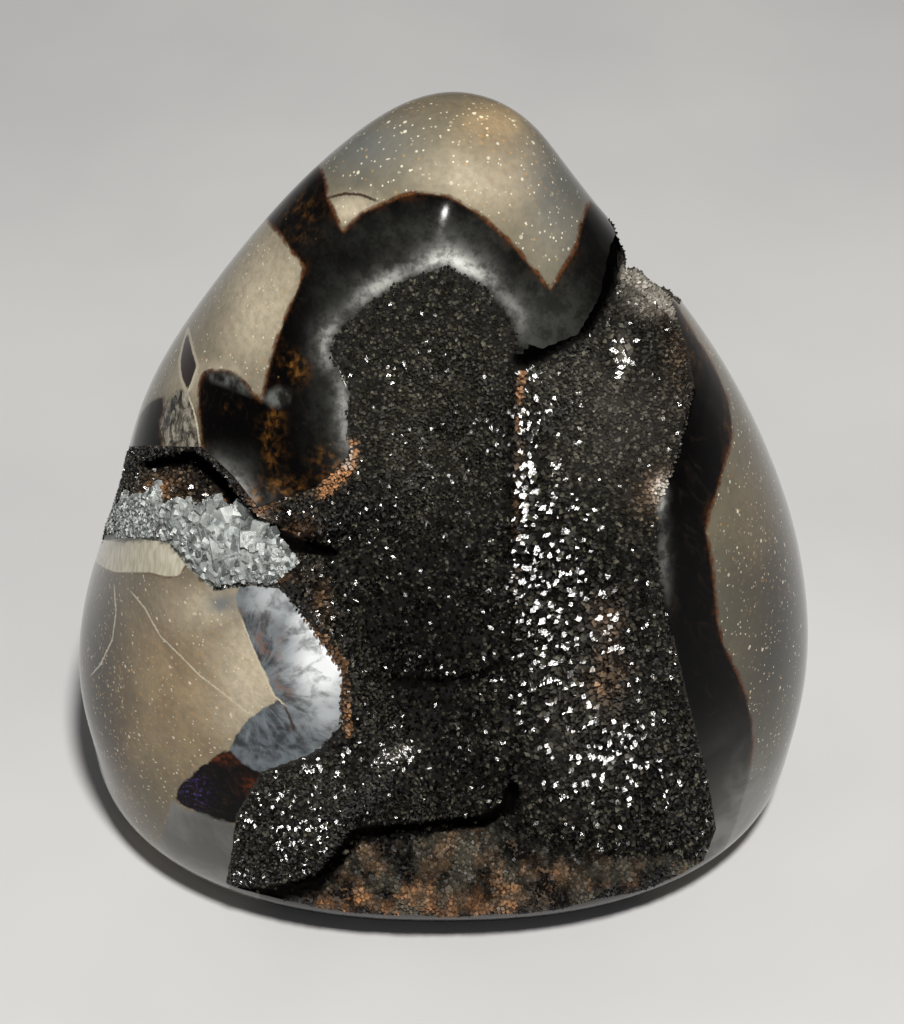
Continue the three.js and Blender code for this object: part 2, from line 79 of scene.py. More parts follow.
# The mouth: u, v, slope of the wall, radius of the lip, and the shelf's width if it isn't wide.
MOUTH = [
    [33, -30, 1.6, 0], [32, -8, 1.5, 0], [33, -4, 1.3, 0], [31, 4, 1.3, 0.4], [28, 13, 1.4, 0.6],
    [25.3, 22.5, 1.5, 1], [24, 30, 1.5, 1.5], [24, 34.5, 1.3, 2], [26.3, 40.5, 1, 1.5],
    [28, 47.5, 0.8, 1], [27.5, 51.5, 0.7, 0.5], [25.5, 58, 0.8, 0], [27, 63, 1, 0], [21, 69, 3, 0],
    [18, 63, 5, 0.2], [16.7, 57.3, 5, 0.2], [14.3, 53.2, 5, 0.2], [10.5, 51.6, 4, 0.3],
    [8.2, 52.2, 1.6, 1.5], [8.2, 54.5, 1.4, 3], [5, 58.3, 1.2, 4], [0.5, 60.8, 1.2, 4],
    [-3.5, 59.5, 1.2, 4], [-8, 57, 1.2, 3.5], [-12, 53.3, 1.3, 3], [-12.5, 51, 1.5, 3],
    [-10.5, 47, 1.8, 2.5], [-10.5, 42.5, 2, 1.5], [-10, 40.5, 2, 0.8], [-13.7, 37, 2.2, 0.5, 3],
    [-20, 35, 3, 0.3, 1], [-23, 38.5, 4, 0.2, 1], [-26.5, 41.6, 3.5, 0.2, 1], [-38, 42, 1.5, 0.2, 3],
    [-50, 42, 0.5, 0.2, 12], [-50, 30.5, 0.6, 0.2, 12], [-36, 31.3, 0.65, 0.2, 10],
    [-31, 31, 0.55, 0.2, 9], [-28.5, 28, 0.5, 0.2, 9.5], [-25.3, 25.5, 0.6, 0.2, 9],
    [-21, 26.2, 0.8, 0.3, 6], [-18, 26, 1.2, 0.8, 2.5], [-15, 21.5, 1.8, 1.8, 1.5],
    [-11.7, 16.5, 2.2, 2, 1], [-12, 10.5, 1.6, 1.5, 3], [-15, 7, 0.9, 0.8, 7.5],
    [-21, 4.5, 0.7, 0.5, 10.5], [-24.5, -1.3, 0.7, 0.3, 11], [-25.3, -6, 0.8, 0.2, 8.5],
    [-26.5, -10.5, 1, 0.2, 3], [-28, -30, 4, 0.2, 0],
]
MOUTH = [(*row, WIDE)[:5] for row in MOUTH]
CLIFF = 6
# The line that ends the ledge at left: u and v of a place on it, and its lean.
LEDGE_END_U, LEDGE_END_V, LEDGE_END_LEAN = -43, 28, 0.44
# The back wall: v of each row, then its depth below the front at each of BACK_U.
BACK_U = [-14, -4, 7, 17, 28]
BACK_ROWS = np.array([
    [64, 2, 2, 3, 2.6, 2], [56, 4, 6, 6, 3.6, 2.4], [51, 6, 9, 8.5, 6, 3], [46, 7, 11, 13, 9, 4],
    [36, 8.5, 15.5, 19, 13, 5.5], [25, 12, 19, 23.5, 15.5, 5], [14, 13, 20.5, 25, 17, 6],
    [6, 11, 16.5, 23, 16.5, 6.5], [-2, 10, 15, 20, 15, 6.5], [-12, 8, 13, 16, 12, 6],
])
# The line below which the back wall is undercut: v at each u.
UNDERCUT = np.array([
    [-40, -11.6], [-26, -11.4], [-20, -10.8], [-15, -9.6], [-12.6, -6], [-11, -3.6], [-2, -3], [5, -2.6],
    [7.4, -1], [8.2, 1.5], [9.5, -40], [40, -40],
])
FLOOR_Z = 7.5
FLOOR_RISE = 0.1
FLOOR_FRONT_Y = -32
NOTCH = [
    [18, 66.5], [19.5, 63.8], [19.1, 61], [20, 60.1], [21.3, 60.8], [23, 59.3], [25.4, 59], [26.6, 57.8],
    [32, 66], [22, 76],
]
NOTCH_SLOPE = 14
# Swellings of the wall: u, v, radius in u, radius in v, rise.
SWELLINGS = [
    [3, 15.2, 4.5, 1.1, -3.5], [-3, 7, 8, 6, 1.5], [-4, 24, 5, 6, 1.2], [14, 42, 7, 6, 1.2],
    [20, 9, 6, 7, 1], [-18, -3, 5, 5, 0.8],
]
# Waves of the wall: amplitude, length, direction in degrees, phase.
WAVES = [[0.45, 14, 20, 0.4], [0.35, 9.5, 105, 2.1], [0.3, 7.3, 65, 4], [0.25, 5.9, 150, 1.2]]
BLEND = 2
SKIN = 0.1  # least depth of the crust's ground under the outside
CRUST_THICKNESS = 1.3
SILL = {"u": -29, "v": 30.3, "half_u": 11, "half_v": 4.2}

# ---------- how it is built here ----------

AROUND = 380  # points round the polished outside
RINGS = 205
STEP = 0.5  # of the grid over the hollow
FROM_U, TO_U, FROM_V, TO_V = -52, 36, -22, 72
IN_FRONT = -110
BEHIND = 90
HALVINGS = 20  # of the step in which a line meets the outside
PROFILE_POINTS = 4000
TIP_SLOPE = 0.25  # of the blunt cone in which the profile ends
TIP_ROUNDING = 2.5
LEAST = 0.001  # stands for no width at all
FAR = 1000  # the outsideness above the tip and below the base
NUDGE = 0.02  # for slopes of the outside
TIP_CAP = 0.06  # how far below the top the outside counts as level
END_MARGIN = 0.05  # kept from the profile's ends where slopes are taken
FLOOR_SUNK = 1.3  # how far the lumps on the floor start below its face
WALL_SUNK = 0.3  # the same on the walls
UNDER_CRUST = 0.12  # how far in front of the stone the thinnest crust's face lies
THIN_RIM = 4.5  # the width along the rim where the crust grows thinner
BARE_DEPTH = 0.3  # how far behind the stone's face the crust's lies where the stone is bare
CRUST_BACK = 0.1  # how far the crust's ground reaches into the stone
# Layers of lumps: how high, how wide and the seed of each.
FLOOR_LUMPS = [(2.2, 2.4, 5), (1.1, 1.1, 6)]
WALL_LUMPS = [(0.5, 3.1, 7), (0.3, 1.5, 8)]
# The floor lumps again, for painted shade: the floor's crystals lighter on the lumps and darker between
# them.
FLOOR_KNOB_SHADING = [(0.7, 2.4, 5), (0.3, 1.1, 6)]
FLOOR_BLOTCHES = [(0.55, 2.1, 43), (0.45, 0.8, 44)]
LATTICE = 256  # cells of the random ground, in u and in v
LINE_REACH = 3  # the distance from a line past which nothing of it is drawn
BLOCKS_BEHIND = 20  # blocks of mudstone between the veins of the unseen back

# ---------- markings of the polished outside, as outlines in (u, v) ----------

VEIN = [
    (-20, 67.2), (-17.3, 69.7), (-13.4, 71.8), (-12.4, 69.5), (-12.1, 67.4), (-11.3, 65.6), (-10.4, 63.6),
    (-9.4, 64.6), (-8.2, 65.6), (-6.5, 66.2), (-4.6, 66.9), (-2.8, 67.3), (-1.1, 67.2), (0.6, 66.9),
    (2, 66.2), (3.7, 65.2), (5.1, 64), (6.6, 62.8), (7.9, 61.6), (8.9, 60.4), (9.9, 59.4), (10.6, 58.4),
    (11.3, 57.8), (11.9, 58.6), (12.7, 60), (13.6, 61.4), (14.2, 62.7), (14.5, 64.5), (15.2, 66.4),
    (15.9, 68), (22, 66), (21.5, 58.5), (12.4, 48.3), (-2.4, 44), (-8.8, 35.7), (-15.5, 29), (-24, 31),
    (-25.3, 39), (-26.4, 41.7), (-26.7, 44.5), (-26.9, 46.7), (-26.8, 48.3), (-26.3, 49.5), (-25.5, 49.8),
    (-23.6, 49.7), (-22.3, 49.2), (-21.3, 48.2), (-20.6, 47.2), (-19.4, 46.2), (-19.1, 47.4),
    (-18.8, 49.1), (-18.3, 50.9), (-17.7, 52.5), (-17.2, 53.9), (-16.5, 55.5), (-15.8, 57), (-15.1, 58.7),
    (-14.5, 60.1), (-15.3, 61.2), (-16.2, 62.3), (-17.2, 63.9), (-18.4, 65.3),
]
VEIN_AT_RIGHT = [
    (22, 58), (25.9, 58.1), (27.7, 55.1), (29.5, 52.6), (31.1, 50), (32.2, 47.5), (32.7, 45), (32.7, 43),
    (32, 41.1), (31.2, 38.6), (30.5, 36.3), (29.6, 34.3), (29.3, 32.4), (29.9, 29.9), (30.4, 27.2),
    (30.8, 24.4), (31.1, 22.1), (31.9, 19.5), (33.1, 17.3), (34.2, 15.4), (35.4, 12.8), (36.5, 9.6),
    (36.9, 6.6), (36.8, 2.7), (36.2, -0.8), (35.6, -4.4), (34.4, -8.9), (30.5, -11.2), (22, 13), (19, 36),
]
VEIN_AT_LEFT = [
    (-36, 42), (-35.1, 45.6), (-33.5, 46.9), (-31.5, 47.5), (-31.3, 45.8), (-31.8, 44.1), (-31.3, 42),
    (-33.1, 40),
]
VEIN_BELOW = [
    (-26, -10), (-17, -11), (-5, -12), (7, -12.5), (19, -11.5), (27, -10.5), (34, -7), (38, -9),
    (34, -16), (20, -24), (0, -27), (-20, -24), (-27, -15),
]
LENS_AT_LEFT = [
    (-28.7, 55.1), (-29.3, 53.1), (-29.5, 51.2), (-29.1, 49.1), (-28.3, 47.6), (-27.6, 48.4), (-27, 50.5),
    (-27.7, 52.3), (-28.2, 53.8),
]
PALE_IN_VEIN = [
    [(-26, 49.6), (-23.6, 49.6), (-22.1, 49), (-21, 47.7), (-20.5, 46.9), (-21.9, 47.4), (-23.6, 48.1),
      (-25.2, 48.7)],
    [(-19.4, 46.6), (-18.7, 47.2), (-17.6, 47.7), (-16.1, 47.4), (-16.4, 46.3), (-17.1, 45.5),
      (-18.3, 45.7)],
]
SILVER = [
    (-22.9, 24.6), (-22.6, 26.5), (-21.2, 28), (-19.6, 28.5), (-17, 28), (-15, 25), (-12, 22), (-10, 18),
    (-9, 13), (-10, 8), (-12.5, 5.5), (-14.9, 5.5), (-16.6, 5.2), (-18.3, 4.3), (-20.3, 3.4),
    (-22.2, 3.7), (-23.8, 5), (-24.8, 6.9), (-23.9, 8.7), (-22.5, 10.4), (-20.5, 12.1), (-18.6, 13.2),
    (-19.3, 14.9), (-20.5, 17.6), (-21.8, 20.6), (-22.5, 22.8),
]
FIBROUS = [
    (-44, 28.5), (-42, 31), (-37, 31), (-33.8, 31.5), (-31.4, 31.2), (-29.5, 30.4), (-28.6, 28.8),
    (-29.6, 27.1), (-31.4, 27), (-33.5, 27.4), (-36.2, 27.3), (-38.7, 27.2), (-40.7, 27.6),
]
PURPLE = [
    (-32.4, 0), (-31.2, 1.9), (-29.8, 3.4), (-28.2, 4.8), (-26.4, 6), (-24.8, 7.2), (-23.4, 5.6),
    (-21.3, 4.4), (-19.6, 2.4), (-21.5, -0.8), (-24, -2.5), (-27, -2.1), (-28.9, -1.4), (-30.7, -0.9),
]
GREY_TIP = [
    (-32.4, 0), (-30.7, -0.9), (-28.9, -1.4), (-27, -2.1), (-25, -2.5), (-21.5, -4.5), (-23, -16),
    (-38, -14), (-36, -8.2), (-33.7, -3.5),
]
FEATHERED = [
    (-31.3, 41.8), (-31.7, 44.7), (-30.9, 46.7), (-29.8, 48), (-28.2, 47.4), (-27.5, 45.8), (-27, 43.9),
    (-26.7, 41.4),
]
OUTLINES = {
    "vein": [VEIN, VEIN_AT_RIGHT, VEIN_AT_LEFT, VEIN_BELOW],
    "pale": PALE_IN_VEIN,
    "lens": [LENS_AT_LEFT],
    "silver": [SILVER],
    "fibrous": [FIBROUS],
    "purple": [PURPLE],
    "grey_tip": [GREY_TIP],
    "feathered": [FEATHERED],
}
OUTSIDE_ALL = -3  # depth that keeps a marking off the back
FAN_U, FAN_V = -22.5, 14.5
# Lines along polished edges: pale healed cracks, and dark ones.
PALE_LINES = [
    [(-36.4, 25.3), (-34.4, 23.3), (-32.5, 20.1), (-30.1, 18), (-27.7, 15.7), (-24.8, 13.6),
      (-21.9, 11.3)],
    [(-38.9, 26), (-38.6, 22.6), (-39.3, 19.2), (-41.3, 16), (-43, 14.4)],
    [(-22.5, 22.8), (-21, 18.6), (-19.1, 13.8), (-17.5, 12.4)],
    [(-28.2, 47.4), (-27.5, 45.8), (-27, 43.9), (-26.7, 41.6)],
    [(-27, 50.5), (-28.2, 47.6)],
]
DARK_LINES = [
    [(-12.6, 67.4), (-10.2, 67.7), (-8.4, 67.4), (-6.5, 66.5)],
    [(-17.9, 12.7), (-17.3, 11.2), (-16.7, 9.4)],
]
# Cracks and creases of the hollow: points along each, its half width and its strength, which sinks the
# crust there and darkens it with painted shade.
FISSURES = [
    ([(-33.5, 39.8), (-27.6, 40.6), (-24.8, 38.2), (-22.2, 34.8), (-19.6, 32.5), (-16, 30.7),
       (-12.4, 29.9)], 1.1, 1),
    ([(19, 64), (17.6, 58.8), (15.2, 54.4), (11.6, 52.2), (8.4, 50.6)], 1.5, 1),
    ([(7.3, 50), (7.5, 30), (8.2, 10), (8.4, -1)], 0.6, 0.5),
    ([(-25, -12.4), (-20, -11.8), (-15, -10.6), (-12.4, -7), (-10.6, -4.6), (-2, -4), (5, -3.6),
       (7.6, -2), (8.4, 0.6)], 1.5, 1),
    ([(-6, 14.6), (0, 14.4), (5, 15.4), (7, 16.8)], 0.8, 0.8),
]

# ---------- fields, on arrays ----------


def spline(x, y):
    """A natural cubic spline through (x, y)."""
    count = len(x)
    step = np.diff(x)
    rows = np.eye(count)
    pull = np.zeros(count)
    for i in range(1, count - 1):
        rows[i, i - 1 : i + 2] = [step[i - 1], 2 * (step[i - 1] + step[i]), step[i]]
        pull[i] = 6 * ((y[i + 1] - y[i]) / step[i] - (y[i] - y[i - 1]) / step[i - 1])
    bend = np.linalg.solve(rows, pull)

    def at(q):
        q = np.asarray(q, float)
        i = np.clip(np.searchsorted(x, q) - 1, 0, count - 2)
        before, after, width = q - x[i], x[i + 1] - q, step[i]
        return (
            (bend[i] * after**3 + bend[i + 1] * before**3) / (6 * width)
            + (y[i] / width - bend[i] * width / 6) * after
            + (y[i + 1] / width - bend[i + 1] * width / 6) * before
        )

    return at


ALONG = np.r_[0, np.cumsum(np.hypot(np.diff(SECTIONS[:, 0]), np.diff(SECTIONS[:, 1])))]
COLUMNS = [spline(ALONG, column) for column in SECTIONS.T]


def section_at(t):
    """The level section at a place along the profile, as in SECTIONS, with the tip rounded off."""
    section = np.array([column(t) for column in COLUMNS])
    left = ALONG[-1] - t
    section[0] -= TIP_SLOPE * (np.hypot(left, TIP_ROUNDING) - left)
    section[0] -= section[0, 0]
    return section


TABLE = section_at(np.linspace(0, ALONG[-1], PROFILE_POINTS))
TOP = TABLE[0, -1]
TABLE[[1, 3]] = np.maximum(TABLE[[1, 3]], LEAST)


def squareness(z):
    return SQUARENESS_AT_BASE + (SQUARENESS_AT_TIP - SQUARENESS_AT_BASE) * np.clip(z / HEIGHT, 0, 1)


def outsideness(x, y, z, inset=0):
    """Below 0 inside the stone's outside drawn in by inset, above 0 outside it."""
    half_x, at_x, half_y, at_y = (np.interp(z, TABLE[0], row) for row in TABLE[1:])
    half_x, half_y = np.maximum(half_x - inset, LEAST), np.maximum(half_y - inset, LEAST)
    n = squareness(z)
    level = np.abs((x - at_x) / half_x) ** n + np.abs((y - at_y) / half_y) ** n - 1
    beyond = np.maximum(z - TOP, 0) + np.maximum(-z, 0)
    return np.where(beyond > 0, FAR + beyond, level)


def to_body(u, v, w):
    u, v, w = np.broadcast_arrays(u, v, w)
    return np.stack([u, v * SIN + w * COS - AXIS_SHIFT, v * COS - w * SIN], -1)


def turn_out(u, v, w):
    """A direction turned from the hollow's frame into the body's."""
    return to_body(u, v, w) - to_body(0, 0, 0)


def turn_in(x, y, z):
    """A direction turned from the body's frame into the hollow's."""
    return x, y * SIN + z * COS, y * COS - z * SIN


def from_body(points):
    x, y, z = points.T
    return turn_in(x, y + AXIS_SHIFT, z)


def at_depth(u, v, w, inset):
    return outsideness(*np.moveaxis(to_body(u, v, w), -1, 0), inset)


def front_depth(u, v, inset=0):
    """How deep along w the stone's front lies, or where the line passes nearest to it."""
    w = np.arange(IN_FRONT, BEHIND, 1.0)
    out = at_depth(u[..., None], v[..., None], w, inset)
    hit = (out < 0).any(-1)
    first = w[np.where(hit, (out < 0).argmax(-1), out.argmin(-1))]
    inside, before = first.copy(), first - 1
    for _ in range(HALVINGS):
        middle = (inside + before) / 2
        within = at_depth(u, v, middle, inset) < 0
        inside, before = np.where(within, middle, inside), np.where(within, before, middle)
    return np.where(hit, inside, first)


def smoothstep(low, high, x):
    t = np.clip((x - low) / (high - low), 0, 1)
    return t * t * (3 - 2 * t)


def sides(outline, u, v, closed=True):
    """For each side of an outline: the distance to it, its ends and how far along."""
    for a, b in zip(outline, outline[1:] + outline[:closed]):
        du, dv = b[0] - a[0], b[1] - a[1]
        t = np.clip(((u - a[0]) * du + (v - a[1]) * dv) / (du * du + dv * dv), 0, 1)
        yield np.hypot(u - a[0] - t * du, v - a[1] - t * dv), a, b, t


def is_inside(outline, u, v):
    inside = np.zeros(np.shape(u), bool)
    for a, b in zip(outline, outline[1:] + outline[:1]):
        if a[1] != b[1]:
            crosses = (a[1] > v) != (b[1] > v)
            inside ^= crosses & (u < a[0] + (v - a[1]) / (b[1] - a[1]) * (b[0] - a[0]))
    return inside


def gap_to(line, u, v, closed=False):
    """The distance to an open line, or to an outline."""
    return np.min([side[0] for side in sides(line, u, v, closed)], 0)


def depth_inside(outline, u, v):
    """How far (u, v) lies inside an outline; negative outside it."""
    gap = gap_to(outline, u, v, True)
    return np.where(is_inside(outline, u, v), gap, -gap)


def signed_gap(line, u, v):
    """The distance to an open line, below 0 on one side of it, and 1 between the line's ends."""
    least = np.full(u.shape, np.inf)
    signed = least.copy()
    for distance, a, b, _ in sides(line, u, v, False):
        left = np.sign((b[0] - a[0]) * (v - a[1]) - (b[1] - a[1]) * (u - a[0]))
        signed = np.where(distance < least, distance * left, signed)
        least = np.minimum(least, distance)
    within = 1
    for end, inner in ((line[0], line[1]), (line[-1], line[-2])):
        du, dv = inner[0] - end[0], inner[1] - end[1]
        along = ((u - end[0]) * du + (v - end[1]) * dv) / math.hypot(du, dv)
        within = within * np.where(least < LINE_REACH, smoothstep(-0.2, 0.8, along), 0)
    return signed, within


def rim_depth(u, v):
    """How far the wall has sunk below the outside, the distance to the rim, and its lip there."""
    depth = np.full(u.shape, np.inf)
    gap = depth.copy()
    bare = np.zeros(u.shape)
    for distance, a, b, t in sides(MOUTH, u, v):
        slope, lip, shelf = (a[k] + (b[k] - a[k]) * t for k in (2, 3, 4))
        sunk = slope * (np.hypot(distance, lip) - lip)
        depth = np.minimum(depth, sunk + CLIFF * np.maximum(0, distance - shelf))
        bare = np.where(distance < gap, lip, bare)
        gap = np.minimum(gap, distance)
    inside = is_inside(MOUTH, u, v)
    return np.where(inside, depth, -depth - 0.3 * gap - 0.15 * gap * gap), gap, bare


def notch_depth(u, v):
    return depth_inside(NOTCH, u, v) * NOTCH_SLOPE


def relief(u, v):
    height = np.zeros(u.shape)
    for amplitude, length, direction, phase in WAVES:
        turn = math.radians(direction)
        along = u * math.cos(turn) + v * math.sin(turn)
        across = v * math.cos(turn) - u * math.sin(turn)
        bent = along + 0.35 * length * np.sin(3.7 * across / length + 2 * phase)
        height += amplitude * np.sin(2 * math.pi * bent / length + phase)
    for at_u, at_v, radius_u, radius_v, rise in SWELLINGS:
        height += rise * np.exp(-(((u - at_u) / radius_u) ** 2) - ((v - at_v) / radius_v) ** 2)
    return height


def back_depth(u, v):
    height = np.clip(v, BACK_ROWS[-1, 0], BACK_ROWS[0, 0])
    rows = BACK_ROWS[::-1]
    columns = [spline(rows[:, 0], rows[:, k + 1])(height) for k in range(len(BACK_U))]
    across = np.clip(u, BACK_U[0], BACK_U[-1] - 1e-6)
    depth = np.zeros(u.shape)
    for k in range(len(BACK_U) - 1):
        share = (across - BACK_U[k]) / (BACK_U[k + 1] - BACK_U[k])
        here = (share >= 0) & (share < 1)
        depth = np.where(here, columns[k] * (1 - share) + columns[k + 1] * share, depth)
    return depth


def floor_depth(u, v):
    y = -AXIS_SHIFT - FLOOR_FRONT_Y
    return (v * (COS - FLOOR_RISE * SIN) - FLOOR_Z - FLOOR_RISE * y) / (SIN + FLOOR_RISE * COS)


def lesser(a, b):
    """The lesser of two depths, rounded where they cross."""
    near = np.maximum(BLEND - np.abs(a - b), 0) / BLEND
    return np.minimum(a, b) - near * near * BLEND / 4


def between(grid, i, j, a, b):
    """A grid's values past each (i, j), by the shares a and b of the way to the next ones."""
    low = grid[i, j] * (1 - a) + grid[i + 1, j] * a
    high = grid[i, j + 1] * (1 - a) + grid[i + 1, j + 1] * a
    return low * (1 - b) + high * b


def lumps(u, v, size, salt):
    """Smooth random ground from 0 to 1 with features of this size."""
    lattice = np.random.default_rng(salt).random((LATTICE, LATTICE))
    p, q = u / size + LATTICE // 2, v / size + LATTICE // 2
    i, j = np.floor(p).astype(int), np.floor(q).astype(int)
    return between(lattice, i, j, smoothstep(0, 1, p - i), smoothstep(0, 1, q - j))


def layered(u, v, layers):
    return sum(high * lumps(u, v, wide, seed) for high, wide, seed in layers)


def spread(spots, u, v):
    """The strongest of several soft round spots at (u, v)."""
    total = np.zeros(u.shape)
    for at_u, at_v, radius_u, radius_v, strength in spots:
        reach = ((u - at_u) / radius_u) ** 2 + ((v - at_v) / radius_v) ** 2
        total = np.maximum(total, strength * np.exp(-reach))
    return total


def along_lines(lines, u, v):
    """The strongest of several soft lines at (u, v)."""
    total = np.zeros(u.shape)
    for line, width, strength in lines:
        total = np.maximum(total, strength * smoothstep(width, width * 0.5, gap_to(line, u, v)))
    return total


def from_sill(u, v):
    """The distance from the sill's middle, 1 at its edge."""
    return np.hypot((u - SILL["u"]) / SILL["half_u"], (v - SILL["v"]) / SILL["half_v"])


class Hollow:
    """The depths of the hollow's wall and crust over an even grid in (u, v)."""

    def __init__(self):
        self.us = np.arange(FROM_U, TO_U + STEP / 2, STEP)
        self.vs = np.arange(FROM_V, TO_V + STEP / 2, STEP)
        self.u, self.v = np.meshgrid(self.us, self.vs)
        u, v = self.u, self.v
        self.front = front_depth(u, v)
        rim, self.gap, self.bare = rim_depth(u, v)
        sunk = np.where(rim > 0, lesser(rim, back_depth(u, v)), rim)
        edge = np.interp(u, UNDERCUT[:, 0], UNDERCUT[:, 1])
        past_end = LEDGE_END_U + LEDGE_END_LEAN * np.maximum(v - LEDGE_END_V, 0) - u
        past = np.maximum(0, edge - v) + np.maximum(0, past_end) * (rim > 0)
        rock = self.front + sunk + CLIFF * past
        floor = floor_depth(u, v)
        self.on_floor = smoothstep(-1, 1, rock - floor)
        wall = np.minimum(rock, floor) - relief(u, v) * smoothstep(0.5, 6, rim)
        self.wall = np.maximum(wall, self.front + notch_depth(u, v))

    def grown(self, face, radius):
        """The face that a ball of this radius would leave if it rolled over the wall."""
        reach = int(radius / STEP)
        padded = np.pad(face, reach, mode="edge")
        least = np.full(face.shape, np.inf)
        for dj in range(-reach, reach + 1):
            for di in range(-reach, reach + 1):
                left = radius**2 - (di * di + dj * dj) * STEP**2
                if left > 0:
                    rows = slice(reach + dj, reach + dj + face.shape[0])
                    columns = slice(reach + di, reach + di + face.shape[1])
                    least = np.minimum(least, padded[rows, columns] - math.sqrt(left))
        return least

    def crust(self):
        """The crust's face, without its crystals."""
        u, v = self.u, self.v
        coated = self.grown(self.wall, CRUST_THICKNESS)
        rounded = self.on_floor * (layered(u, v, FLOOR_LUMPS) - FLOOR_SUNK)
        uneven = layered(u, v, WALL_LUMPS) - WALL_SUNK
        notch = smoothstep(-2.5 * NOTCH_SLOPE, -NOTCH_SLOPE, notch_depth(u, v))
        thinned = smoothstep(0, THIN_RIM, self.gap) * (1 - 0.8 * notch)
        coated = self.wall - UNDER_CRUST + (coated - self.wall - uneven) * thinned - rounded
        for line, width, strength in FISSURES:
            coated = coated + strength * smoothstep(width, 0, gap_to(line, u, v))
        halfway = self.front + 0.5 * (self.wall - self.front)
        coated = np.maximum(coated, np.maximum(halfway, front_depth(u, v, SKIN) + 0.02))
        ragged = 0.1 + 0.5 * lumps(u, v, 1.2, 9)
        lip = 1 - smoothstep(0, 1, self.gap / np.maximum(self.bare * ragged, 0.01))
        bare = np.maximum(lip, 1 - smoothstep(0.8, 1.1, from_sill(u, v)))
        return coated * (1 - bare) + (self.wall + BARE_DEPTH) * bare

    def sample(self, face, u, v):
        """A grid's value at any (u, v)."""
        p = np.clip((u - FROM_U) / STEP, 0, len(self.us) - 1.001)
        q = np.clip((v - FROM_V) / STEP, 0, len(self.vs) - 1.001)
        i, j = p.astype(int), q.astype(int)
        return between(face.T, i, j, p - i, q - j)


# ---------- meshes ----------


def add_to_scene(name, data):
    made = bpy.data.objects.new(name, data)
    bpy.context.scene.collection.objects.link(made)
    return made


def make_object(name, points, faces, kinds=None):
    """A mesh object from points in millimetres. kinds gives each face's material."""
    mesh = bpy.data.meshes.new(name)
    mesh.from_pydata((np.asarray(points) * MM).tolist(), [], [tuple(f) for f in faces])
    if kinds is not None:
        mesh.polygons.foreach_set("material_index", np.asarray(kinds, np.int32))
    mesh.update()
    return add_to_scene(name, mesh)


def in_front_of(name, hollow, face, kind):
    """The solid of everything in front of a face over the grid, all of one kind of face."""
    rows, columns = face.shape
    count = rows * columns
    points = [to_body(hollow.u, hollow.v, w).reshape(-1, 3) for w in (IN_FRONT, face)]
    at = np.arange(count).reshape(rows, columns)
    near = np.stack([at[:-1, :-1], at[:-1, 1:], at[1:, 1:], at[1:, :-1]], -1).reshape(-1, 4)
    border = np.r_[at[0], at[1:, -1], at[-1, -2::-1], at[-2:0:-1, 0]]
    after = np.roll(border, -1)
    side = np.stack([after, border, border + count, after + count], -1)
    faces = np.vstack([near, near[:, ::-1] + count, side])
    return make_object(name, np.vstack(points), faces, np.full(len(faces), kind))


def make_outside(name, inset):
    """The whole stone's outside before the hollow is cut, drawn in by inset."""
    z, half_x, at_x, half_y, at_y = section_at(ALONG[-1] * np.arange(RINGS) / RINGS)
    angle = 2 * math.pi * np.arange(AROUND) / AROUND
    power = 2 / squareness(z)[:, None]

    def ring(middle, half, wave):
        return middle[:, None] + (half - inset)[:, None] * np.sign(wave) * np.abs(wave) ** power

    x, y = ring(at_x, half_x, np.cos(angle)), ring(at_y, half_y, np.sin(angle))
    ring_points = np.stack([x, y, np.broadcast_to(z[:, None], x.shape)], -1).reshape(-1, 3)
    foot = [SECTIONS[0, 2], SECTIONS[0, 4], 0]
    tip = [SECTIONS[-1, 2], SECTIONS[-1, 4], TOP - inset]
    points = np.vstack([ring_points, foot, tip])
    at = np.arange(RINGS * AROUND).reshape(RINGS, AROUND)
    after = np.roll(at, -1, 1)
    faces = np.stack([at[:-1], after[:-1], after[1:], at[1:]], -1).reshape(-1, 4).tolist()
    faces += [(len(points) - 2, b, a) for a, b in zip(at[0], after[0])]
    faces += [(len(points) - 1, a, b) for a, b in zip(at[-1], after[-1])]
    return make_object(name, points, faces)


def cut(target, tool, operation):
    """Applies a boolean to target and removes the tool."""
    modifier = target.modifiers.new("cut", "BOOLEAN")
    modifier.operation = operation
    modifier.object = tool
    modifier.solver = "MANIFOLD"
    bpy.context.view_layer.update()
    shown = target.evaluated_get(bpy.context.evaluated_depsgraph_get())
    result = bpy.data.meshes.new_from_object(shown)
    target.modifiers.clear()
    target.data = result
    bpy.data.objects.remove(tool)


def give_slots(target, *materials):
    for material in materials:
        target.data.materials.append(material)


def read(items, name, width=1, kind=np.int32):
    """A property of every one of a mesh's items."""
    values = np.zeros(len(items) * width, kind)
    items.foreach_get(name, values)
    return values.reshape(-1, width) if width > 1 else values


def set_all(items, name, value):
    items.foreach_set(name, [value] * len(items))


def corners(mesh):
    return read(mesh.vertices, "co", 3, np.float32) / MM


def store(mesh, domain="POINT", **fields):
    """Keeps values for the materials, one for each point or face."""
    for name, values in fields.items():
        attribute = mesh.attributes.new(name, "FLOAT", domain)
        attribute.data.foreach_set("value", np.asarray(values, np.float32))


def keep_in_box(mesh):
    """Moves what stands out of the frame's box back onto it."""
    points = np.clip(corners(mesh) * MM, *np.array(cad_box))
    mesh.vertices.foreach_set("co", points.astype(np.float32).ravel())
    mesh.update()


def outward(points):
    """The outside's own normal at points on or near it, and the distance from it."""
    x, y, z = points.T
    at_tip = z > TOP - TIP_CAP
    z = np.clip(z, END_MARGIN, TOP - END_MARGIN)
    slope = [
        outsideness(x + NUDGE, y, z) - outsideness(x - NUDGE, y, z),
        outsideness(x, y + NUDGE, z) - outsideness(x, y - NUDGE, z),
        outsideness(x, y, z + NUDGE) - outsideness(x, y, z - NUDGE),
    ]
    slope = np.stack(slope, -1) / (2 * NUDGE)
    slope[at_tip] = (0, 0, 1)
    steepness = np.linalg.norm(slope, axis=1)
    return slope / steepness[:, None], outsideness(x, y, z) / steepness


